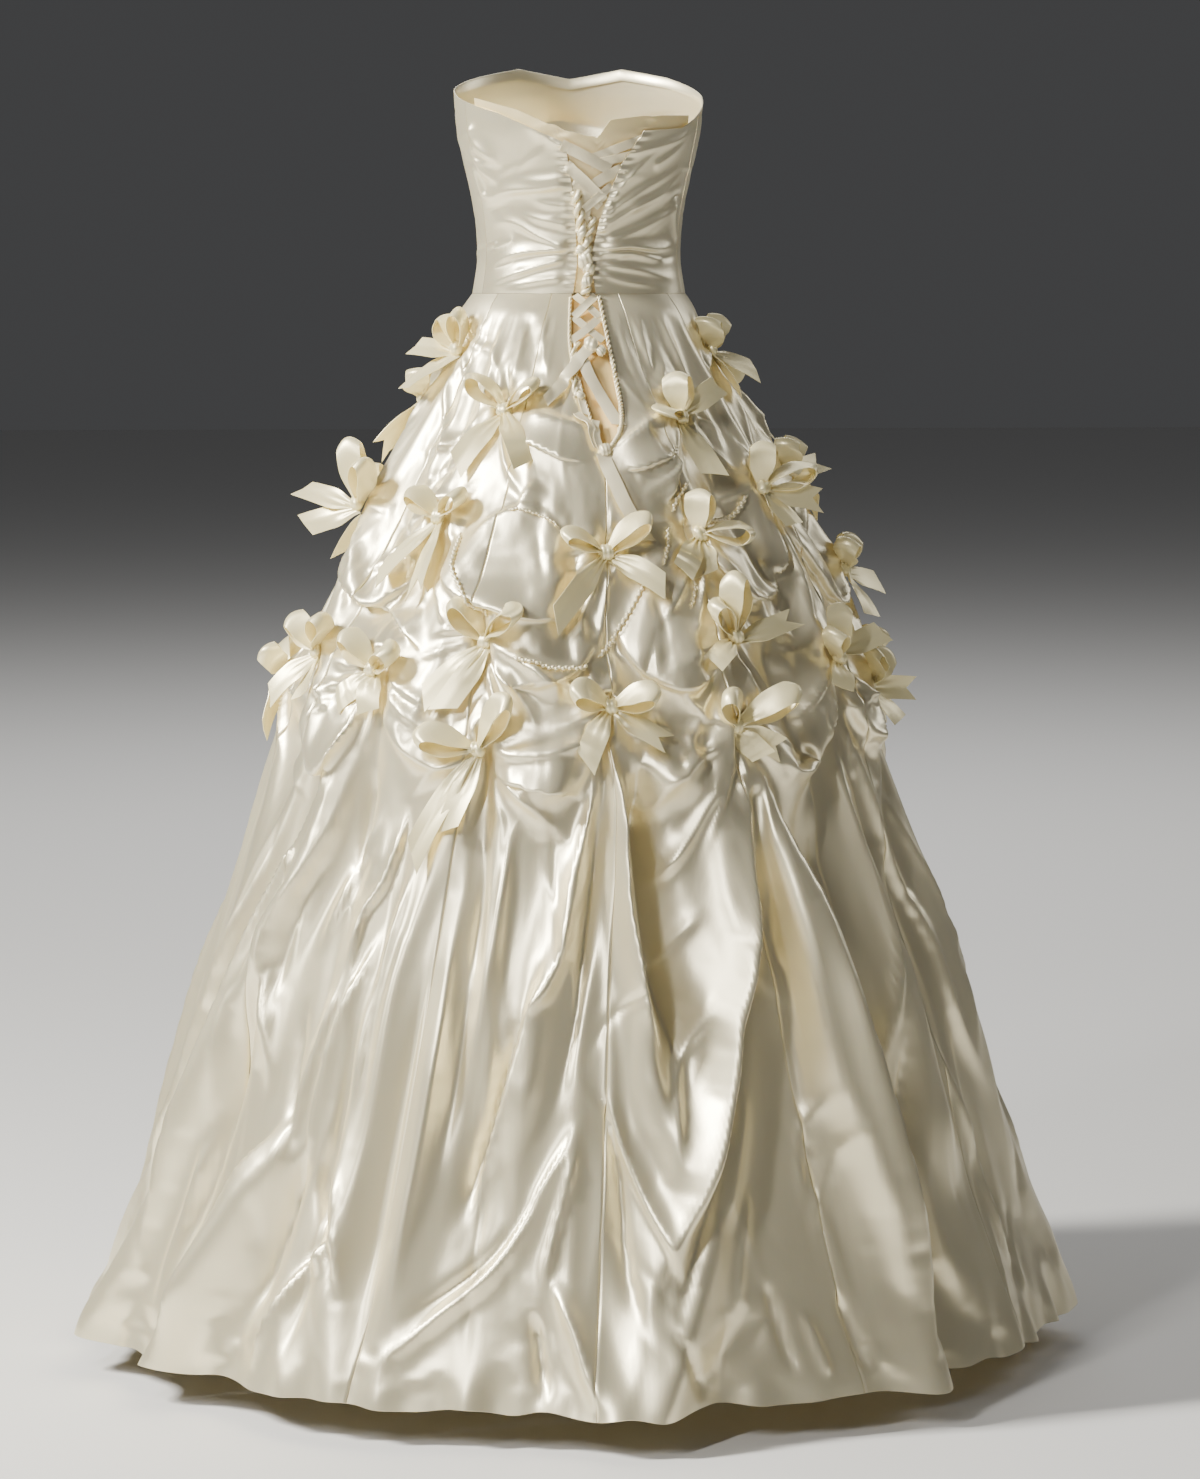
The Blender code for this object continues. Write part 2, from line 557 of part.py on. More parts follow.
class TiedRibbon:
    """A knot with its loops and tails, built in the knot's own plane and laid over the cloth."""

    def __init__(self, tree, angle, z, roll):
        spot = np.array(float(angle)), np.array(float(z))
        outward = Vector(normal_at(skirt_cone, *spot, 3.0, 0.02))
        aside = Vector((-cos(radians(angle)), -sin(radians(angle)), 0.0))
        upward = outward.cross(aside)
        upward.normalize()
        self.tree = tree
        self.outward = outward
        self.right = aside * cos(roll) + upward * sin(roll)
        self.up = upward * cos(roll) - aside * sin(roll)
        outside = Vector(skirt_cone(*spot)) + 0.12 * outward
        # Three tries side by side, because one could slip through the gap of a seam.
        tries = [tree.ray_cast(outside + aside * shift, -outward)[0] for shift in (-0.004, 0.0, 0.004)]
        seat = max(tries, key=outward.dot)
        self.centre = seat + BOW_CLEARANCE * outward
        self.points = []
        self.faces = []

    def add(self, right, up, out):
        self.points.append(self.centre + self.right * right + self.up * up + self.outward * out)
        return len(self.points) - 1

    def knot(self, scale):
        """A small block of two cells by one by two, rounded at its front. Returns its corners."""
        corners = {}
        for i, x in enumerate((-KNOT_HALF_LENGTH, 0.0, KNOT_HALF_LENGTH)):
            for j, y in enumerate((-KNOT_HALF_WIDTH, KNOT_HALF_WIDTH)):
                for k, out in enumerate(KNOT_LEVELS):
                    bulge = 0.0022 if (i == 1 and k == 2) else 0.0
                    swell = 1.25 if (i == 1) else 1.0
                    corners[i, j, k] = self.add(x * scale, y * scale * swell, out + bulge)
        self.corners = corners
        c = corners
        for i in (0, 1):
            self.faces.append((c[i, 0, 2], c[i + 1, 0, 2], c[i + 1, 1, 2], c[i, 1, 2]))
            self.faces.append((c[i, 1, 0], c[i + 1, 1, 0], c[i + 1, 0, 0], c[i, 0, 0]))
            for k in (0, 1):
                self.faces.append((c[i, 1, k], c[i, 1, k + 1], c[i + 1, 1, k + 1], c[i + 1, 1, k]))

    def lifted(self, ring):
        """A ring of four places moved out until it clears the cloth under it."""
        rise = 0.0
        for _ in range(4):
            for place in ring:
                spot = place + self.outward * rise
                near, normal, _, _ = self.tree.find_nearest(spot)
                height = (spot - near).dot(normal)
                if height < BOW_CLEARANCE:
                    rise += BOW_CLEARANCE - height
        return rise

    def ring(self, along_way, across, start, distance, height, half_breadth, tilt, slant=0.0, least=0.0):
        """Four corners of the ribbon's section at a distance along its way, and how far it was moved out."""
        centre = self.centre + start + along_way * distance + self.outward * height
        places = []
        for side, layer in ((-1, 0), (1, 0), (1, 1), (-1, 1)):
            place = centre + across * (side * half_breadth) + along_way * (side * slant)
            places.append(place + tilt * ((layer - 0.5) * RIBBON))
        rise = max(least, self.lifted(places))
        first = len(self.points)
        self.points += [place + self.outward * rise for place in places]
        return (first, first + 1, first + 2, first + 3), rise

    def join(self, before, after):
        """The four walls of the ribbon between two rings, its two broad ones split along the same diagonal."""
        for i in (0, 1, 3):
            j = (i + 1) % 4
            self.faces.append((before[i], before[j], after[j], after[i]))
        self.faces.append((before[3], after[3], after[2], before[2]))

    def loop(self, side, direction, length, lift):
        """A loop from the lower cell on one side of the knot out and back to the upper cell."""
        c = self.corners
        i = 0 if side < 0 else 2
        low = [c[i, 1, 0], c[i, 0, 0], c[i, 0, 1], c[i, 1, 1]]
        high = [c[i, 1, 1], c[i, 0, 1], c[i, 0, 2], c[i, 1, 2]]
        if side > 0:
            low = [c[i, 0, 0], c[i, 1, 0], c[i, 1, 1], c[i, 0, 1]]
            high = [c[i, 0, 1], c[i, 1, 1], c[i, 1, 2], c[i, 0, 2]]
        way = self.right * cos(direction) + self.up * sin(direction)
        across = self.outward.cross(way)
        start = self.right * (side * KNOT_HALF_LENGTH)
        last = low
        rises = []
        for index, (share, height, half_breadth) in enumerate(LOOP_STATIONS):
            out = KNOT_LEVELS[1] / 2 + height + share * length * sin(lift)
            distance = share * length * cos(lift)
            turned = index * pi / (len(LOOP_STATIONS) - 1)
            tilt = self.outward * cos(turned) - way * sin(turned)
            # On its way back the ribbon clears its own way out.
            least = max(rises[len(LOOP_STATIONS) - 1 - index:], default=0.0)
            ring, rise = self.ring(way, across, start, distance, out, half_breadth, tilt, least=least)
            rises.append(rise)
            self.join(last, ring)
            last = ring
        self.join(last, self.turned_over(high))

    @staticmethod
    def turned_over(cell):
        """A cell's corners as the returning ribbon meets it, upside down."""
        return [cell[3], cell[2], cell[1], cell[0]]

    def foot_cell(self, side, layer):
        """One of the four cells at the foot of the knot."""
        c = self.corners
        i = 0 if side < 0 else 1
        return [c[i, 0, layer], c[i + 1, 0, layer], c[i + 1, 0, layer + 1], c[i, 0, layer + 1]]

    def tail(self, side, direction, length, lift, stations, layer=0, over=()):
        """A tail from a cell at the foot of the knot, at least as far out as the rises of the tail it is over."""
        last = self.foot_cell(side, layer)
        way = self.right * cos(direction) + self.up * sin(direction)
        across = self.outward.cross(way)
        start = self.right * (side * KNOT_HALF_LENGTH / 2) - self.up * (KNOT_HALF_WIDTH + TAIL_DROP)
        rises = []
        for index, (share, half_breadth, slant) in enumerate(stations):
            out = (layer + 0.5) * KNOT_LEVELS[1] + share * length * sin(lift)
            distance = share * length * cos(lift)
            least = max(over[: index + 2], default=0.0)
            ring, rise = self.ring(
                way, across, start, distance, out, half_breadth, self.outward, side * slant, least
            )
            rises.append(rise)
            self.join(last, ring)
            last = ring
        self.faces.append(tuple(last))
        return rises

    def close_side(self, side):
        """Closes the two cells on a side of the knot that carries no loop."""
        c = self.corners
        i = 0 if side < 0 else 2
        for k in (0, 1):
            face = (c[i, 0, k], c[i, 0, k + 1], c[i, 1, k + 1], c[i, 1, k])
            self.faces.append(face if side < 0 else face[::-1])

    def close_foot(self, side, layer):
        self.faces.append(tuple(self.foot_cell(side, layer)))

    def finish(self, name, material):
        """Triangles, moved out together until none of them cuts the cloth."""
        triangles = []
        for a, b, c, d in self.faces:
            triangles.append((a, b, c))
            triangles.append((a, c, d))
        while BVHTree.FromPolygons(self.points, triangles).overlap(self.tree):
            self.points = [point + self.outward * BOW_STEP for point in self.points]
        self.points = [point + self.outward * BOW_STEP for point in self.points]
        return mesh_object(name, self.points, triangles, material)


def turn_between(first, second):
    """The middle direction of two angles in degrees."""
    return atan2(
        sin(radians(first)) + sin(radians(second)),
        cos(radians(first)) + cos(radians(second)),
    )


def make_bow(name, tree, place, legs, material):
    angle, z = place
    left_loop, right_loop, left_tail, right_tail = legs
    roll = turn_between(left_loop[0] - 180, right_loop[0])
    bow = TiedRibbon(tree, angle, z, roll)
    bow.knot(1.0)
    for side, (direction, length, lift) in ((-1, left_loop), (1, right_loop)):
        bow.loop(side, radians(direction) - roll, length / 1000, radians(lift))
    # The tail that stands off more leaves the upper half of the knot, over the other one.
    tails = sorted(((-1, left_tail), (1, right_tail)), key=lambda tail: tail[1][2])
    rises = ()
    for layer, (side, (direction, length, lift)) in enumerate(tails):
        turn = radians(direction) - roll
        rises = bow.tail(side, turn, length / 1000, radians(lift), TAIL_STATIONS, layer, rises)
        bow.close_foot(side, 1 - layer)
    return bow.finish(name, material)


def make_bows(tree, satin):
    rows = [((bow[0], bow[1]), bow[2:]) for bow in BOWS]
    for index, place in enumerate(FRONT_BOW_PLACES):
        rows.append((place, FRONT_BOW_LEGS[index % len(FRONT_BOW_LEGS)]))
    for index, (place, legs) in enumerate(rows):
        make_bow(f"bow_{index + 1:02d}", tree, place, legs, satin)


def make_lace_ties(tree, satin):
    """The knots that end the lacing and the placket, with their cut ends."""
    upper = TiedRibbon(tree, -0.5, -0.070, 0.0)
    upper.knot(0.9)
    upper.close_side(-1)
    upper.close_side(1)
    upper.tail(-1, radians(-128), 0.058, 0.0, LACE_TAIL_STATIONS)
    upper.tail(1, radians(-66), 0.066, 0.0, LACE_TAIL_STATIONS)
    upper.close_foot(-1, 1)
    upper.close_foot(1, 1)
    upper.finish("lace_tie_upper", satin)
    lower = TiedRibbon(tree, 2.5, -0.166, 0.0)
    lower.knot(0.75)
    lower.close_side(-1)
    lower.close_side(1)
    lower.tail(1, radians(-62), 0.060, 0.0, LACE_TAIL_STATIONS)
    lower.close_foot(-1, 0)
    lower.close_foot(-1, 1)
    lower.close_foot(1, 1)
    lower.finish("lace_tie_lower", satin)


def main():
    clear_scene()
    satin = fabric("ivory_satin", SATIN, 0.34)
    ribbon = fabric("ribbon_satin", RIBBON_SATIN, 0.38)
    lacing = fabric("lacing_satin", LACING_SATIN, 0.45)
    lining = fabric("lining", UNDERLAY, 0.5)
    gores = make_skirt(satin)
    make_bodice(satin, lining)
    lace = make_lacing(lacing)
    make_lace_ties(cloth_tree([*gores, lace]), lacing)
    make_bows(cloth_tree(gores), ribbon)


main()
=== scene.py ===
"""Looks of the laced ball gown: satin shells on the frame's forms, tied bows, lacing, sewing and light.

An angle round the gown is in degrees from the centre back, positive towards -X, the wearer's right
and the right of the photo. Heights and sizes are metres. A crease's "plus" side lies to the left of
its line as it is drawn, seen from outside: higher angles on a line drawn downwards, above on a line
drawn towards higher angles.
"""

from math import cos, degrees, pi, radians, sin, sqrt

import bpy
import numpy as np
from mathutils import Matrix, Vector
from mathutils.bvhtree import BVHTree


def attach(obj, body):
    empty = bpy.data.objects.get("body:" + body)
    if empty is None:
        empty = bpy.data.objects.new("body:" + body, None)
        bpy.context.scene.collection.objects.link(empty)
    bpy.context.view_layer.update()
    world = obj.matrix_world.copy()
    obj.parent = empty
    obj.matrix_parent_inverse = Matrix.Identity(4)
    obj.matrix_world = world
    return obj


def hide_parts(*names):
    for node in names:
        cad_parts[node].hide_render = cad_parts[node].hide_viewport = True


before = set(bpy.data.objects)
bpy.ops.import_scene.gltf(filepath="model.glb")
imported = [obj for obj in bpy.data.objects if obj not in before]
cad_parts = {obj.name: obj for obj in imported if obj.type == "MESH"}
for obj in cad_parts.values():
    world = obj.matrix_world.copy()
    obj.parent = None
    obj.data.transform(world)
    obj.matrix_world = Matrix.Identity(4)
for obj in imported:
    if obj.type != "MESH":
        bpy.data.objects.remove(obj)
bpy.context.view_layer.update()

# ------------------------------------------------------------------ the gown's own sizes
HEM_Z = -1.075
PLACKET_END_Z = -0.16
SEAM_GAP = 0.0003
HEM_ABOVE_FLOOR = 0.035
FLOOR_Z = HEM_Z - HEM_ABOVE_FLOOR
BODICE_SECTIONS = (
    # z, side, back, front
    (0.000, 0.111, 0.088, 0.092),
    (0.035, 0.106, 0.085, 0.095),
    (0.065, 0.107, 0.086, 0.101),
    (0.100, 0.112, 0.091, 0.114),
    (0.140, 0.121, 0.098, 0.128),
    (0.170, 0.127, 0.103, 0.133),
    (0.210, 0.130, 0.106, 0.131),
    (0.260, 0.131, 0.108, 0.128),
)
SKIRT_SECTIONS = (
    # z, side, back, front
    (0.000, 0.111, 0.088, 0.092),
    (-0.030, 0.133, 0.112, 0.112),
    (-0.060, 0.151, 0.136, 0.130),
    (-0.100, 0.177, 0.165, 0.158),
    (-0.150, 0.210, 0.198, 0.188),
    (-0.220, 0.252, 0.238, 0.226),
    (-0.300, 0.293, 0.276, 0.262),
    (-0.380, 0.326, 0.310, 0.292),
    (-0.450, 0.334, 0.322, 0.304),
    (-0.520, 0.350, 0.336, 0.318),
    (-0.600, 0.374, 0.358, 0.340),
    (-0.700, 0.402, 0.386, 0.366),
    (-0.800, 0.424, 0.410, 0.390),
    (-0.900, 0.450, 0.436, 0.416),
    (-1.000, 0.482, 0.466, 0.446),
    (-1.080, 0.507, 0.492, 0.472),
)
BACK_SEAM = ((PLACKET_END_Z, 3.0), (-0.45, 1.5), (HEM_Z, -2.5))
SKIRT_SLIT_LEFT = ((0.0, -9.0), (-0.06, -7.0), (-0.11, -1.5)) + BACK_SEAM
SKIRT_SLIT_RIGHT = ((0.0, 8.0), (-0.06, 8.5), (-0.11, 9.0), (-0.14, 7.0)) + BACK_SEAM
BODICE_SLIT_LEFT = ((0.26, -16.0), (0.152, -12.3), (0.095, -7.6), (0.032, -5.5), (0.0, -8.2))
BODICE_SLIT_RIGHT = ((0.26, 60.0), (0.165, 33.8), (0.131, 22.2), (0.075, 9.9), (0.032, 3.6), (0.0, 7.4))
# The gore seams, as angles at the waist and at the hem, round the gown from the centre back.
GORE_SEAMS = (
    (22, 30), (58, 62), (96, 98), (136, 136), (180, 180), (224, 224), (264, 262), (302, 298), (338, 329),
)
GORE_NAMES = (
    "gore_back_right", "gore_side_back_right", "gore_side_right", "gore_side_front_right", "gore_front_right",
    "gore_front_left", "gore_side_front_left", "gore_side_left", "gore_side_back_left", "gore_back_left",
)
SIDE_SEAM_LEFT = -72.0
SIDE_SEAM_RIGHT = 74.0
BACK_LEFT_TOP = ((SIDE_SEAM_LEFT, 0.196), (-50.0, 0.184), (-12.3, 0.152))
BACK_RIGHT_TOP = ((33.8, 0.165), (60.0, 0.169), (SIDE_SEAM_RIGHT, 0.184))
FRONT_TOP = (
    (SIDE_SEAM_RIGHT, 0.184), (95.0, 0.205), (130.0, 0.226), (155.0, 0.236), (180.0, 0.226),
    (205.0, 0.236), (230.0, 0.226), (265.0, 0.210), (360.0 + SIDE_SEAM_LEFT, 0.196),
)
MODESTY_TOP = (
    (-66.0, 0.199), (-40.0, 0.187), (-14.0, 0.166), (7.0, 0.157), (14.0, 0.176), (36.0, 0.181), (66.0, 0.182),
)
MODESTY_DEPTH = 0.0030  # how far behind the bodice's form it lies
UNDERLAY_DEPTH = 0.0034
UNDERLAY_END_Z = -0.185

# ------------------------------------------------------------------ the skirt's folds
LONG_FOLDS = (
    # z at top, z at foot, angle at top, halfway, at foot, height, half breadth at top, at foot, steep side
    (-0.39, -1.09, -46, -65, -80, 0.028, 0.022, 0.042, -1),
    (-0.47, -1.09, -70, -79, -97, 0.018, 0.022, 0.045, -1),
    (-0.47, -0.80, -49, -56, -54, 0.014, 0.022, 0.030, 1),
    (-0.80, -1.09, -47, -54, -62, 0.026, 0.015, 0.036, -1),
    (-0.84, -1.09, -45, -48, -52, -0.012, 0.015, 0.022, 0),
    (-0.78, -1.09, -38, -36, -33, 0.013, 0.018, 0.030, 0),
    (-0.66, -1.09, -26, -27, -26, 0.015, 0.020, 0.032, 0),
    (-0.66, -0.95, -11, -15, -20, -0.012, 0.014, 0.022, 0),
    (-0.50, -0.86, -5, -9, -15, 0.014, 0.016, 0.026, 1),
    (-0.92, -1.09, -6, -4, -3, 0.015, 0.016, 0.030, 0),
    (-0.42, -0.86, 3, 5, 8, 0.018, 0.016, 0.024, 1),
    (-0.44, -0.84, 7, 10, 12, -0.020, 0.018, 0.032, 0),
    (-0.43, -1.09, 26, 17, 3, 0.032, 0.028, 0.050, 1),
    (-0.64, -1.09, 27, 21, 13, -0.016, 0.024, 0.042, 0),
    (-0.43, -1.09, 27, 35, 39, 0.036, 0.022, 0.052, 1),
    (-0.47, -1.09, 40, 46, 47, -0.038, 0.022, 0.042, 0),
    (-0.40, -0.92, 52, 56, 56, 0.016, 0.022, 0.036, 0),
    (-0.42, -1.09, 62, 76, 90, 0.022, 0.024, 0.058, 0),
    (-0.80, -1.09, 66, 68, 70, -0.012, 0.020, 0.034, 0),
)
FOLD_FADE = 0.10  # over which a fold rises and dies away
FOLD_TOP_SHARE = 0.6  # of its height that a fold has at its top
STEEP_SIDE = 0.65  # breadth of a fold's steep side, as a share of the other's
FRONT_FOLD_ANGLES = (108, 124, 141, 157, 172, 188, 203, 219, 236, 252)
FRONT_FOLD_HEIGHTS = (0.024, 0.016, 0.028, 0.020, 0.024, 0.018, 0.027, 0.019, 0.025, 0.016)
FRONT_FOLD_TOP_Z = -0.43
FRONT_FOLD_FOOT_Z = -1.09
FRONT_FOLD_BREADTHS = (0.024, 0.046)
FRONT_FOLD_LEAN = 5.0  # the most degrees that a fold's top and foot stand to either side of its middle
FRONT_FOLD_SWAY = 2.3  # how the lean changes from one front fold to the next, in radians
DIMPLE_DEPTH = 0.019  # of the wide hollow that each tied bow draws in
DIMPLE_REACH = 0.042
STITCH_DEPTH = 0.006  # of the small one right under its knot
STITCH_REACH = 0.013
SWAGS = (
    # angle, z of one end, angle, z of the other, sag, height
    (-32, -0.112, 3, -0.155, 0.012, 0.010),
    (3, -0.155, 33, -0.119, 0.012, 0.010),
    (-76, -0.212, -43, -0.217, 0.050, 0.014),
    (-43, -0.217, 3, -0.252, 0.060, 0.016),
    (25, -0.232, 54, -0.192, 0.060, 0.016),
    (54, -0.192, 85, -0.282, 0.030, 0.014),
    (-66, -0.358, -46, -0.371, 0.080, 0.022),
    (-46, -0.371, -22, -0.447, 0.030, 0.018),
    (-22, -0.447, 1, -0.403, 0.045, 0.020),
    (1, -0.403, 27, -0.426, 0.050, 0.020),
    (27, -0.426, 55, -0.365, 0.055, 0.020),
    (55, -0.365, 70, -0.398, 0.050, 0.016),
    (-24, -0.337, 3, -0.300, 0.030, 0.012),
    (3, -0.300, 28, -0.336, 0.030, 0.012),
    (104, -0.372, 140, -0.352, 0.060, 0.018),
    (140, -0.352, 180, -0.402, 0.050, 0.018),
    (180, -0.402, 222, -0.360, 0.050, 0.018),
    (222, -0.360, 254, -0.398, 0.050, 0.018),
    (120, -0.225, 158, -0.205, 0.050, 0.014),
    (158, -0.205, 198, -0.235, 0.050, 0.014),
    (198, -0.235, 238, -0.215, 0.050, 0.014),
)
SWAG_BELOW = 0.026  # breadth of a puff below its edge, and above it
SWAG_ABOVE = 0.050
SMOOTH_WAIST = 0.05  # over which the relief grows below the waist seam
CALM_HEM = 0.05  # over which cloth is no longer pushed up or down near the hem
HEM_WAVE_START = (-0.94, 0.13)  # the height where the hem's waves begin, and over which they grow
HEM_RIPPLE_START = (-1.00, 0.07)
HEM_LIFT = 0.005
HEM_WAVES = (
    # height, how many round the hem, phase, sway, how many sways, phase of the sway
    (0.0040, 9, 1.2, 0.0, 0, 0.0),
    (0.0036, 17, 0.4, 0.0, 0, 0.0),
)
HEM_RIPPLES = (
    (0.0034, 37, 2.0, 1.5, 5, 0.0),
    (0.0022, 61, 1.1, 1.8, 4, 1.0),
)
HEM_SCALLOPS = ((0.5, 29, 0.0, 2.2, 6, 0.5),)  # as shares of HEM_LIFT

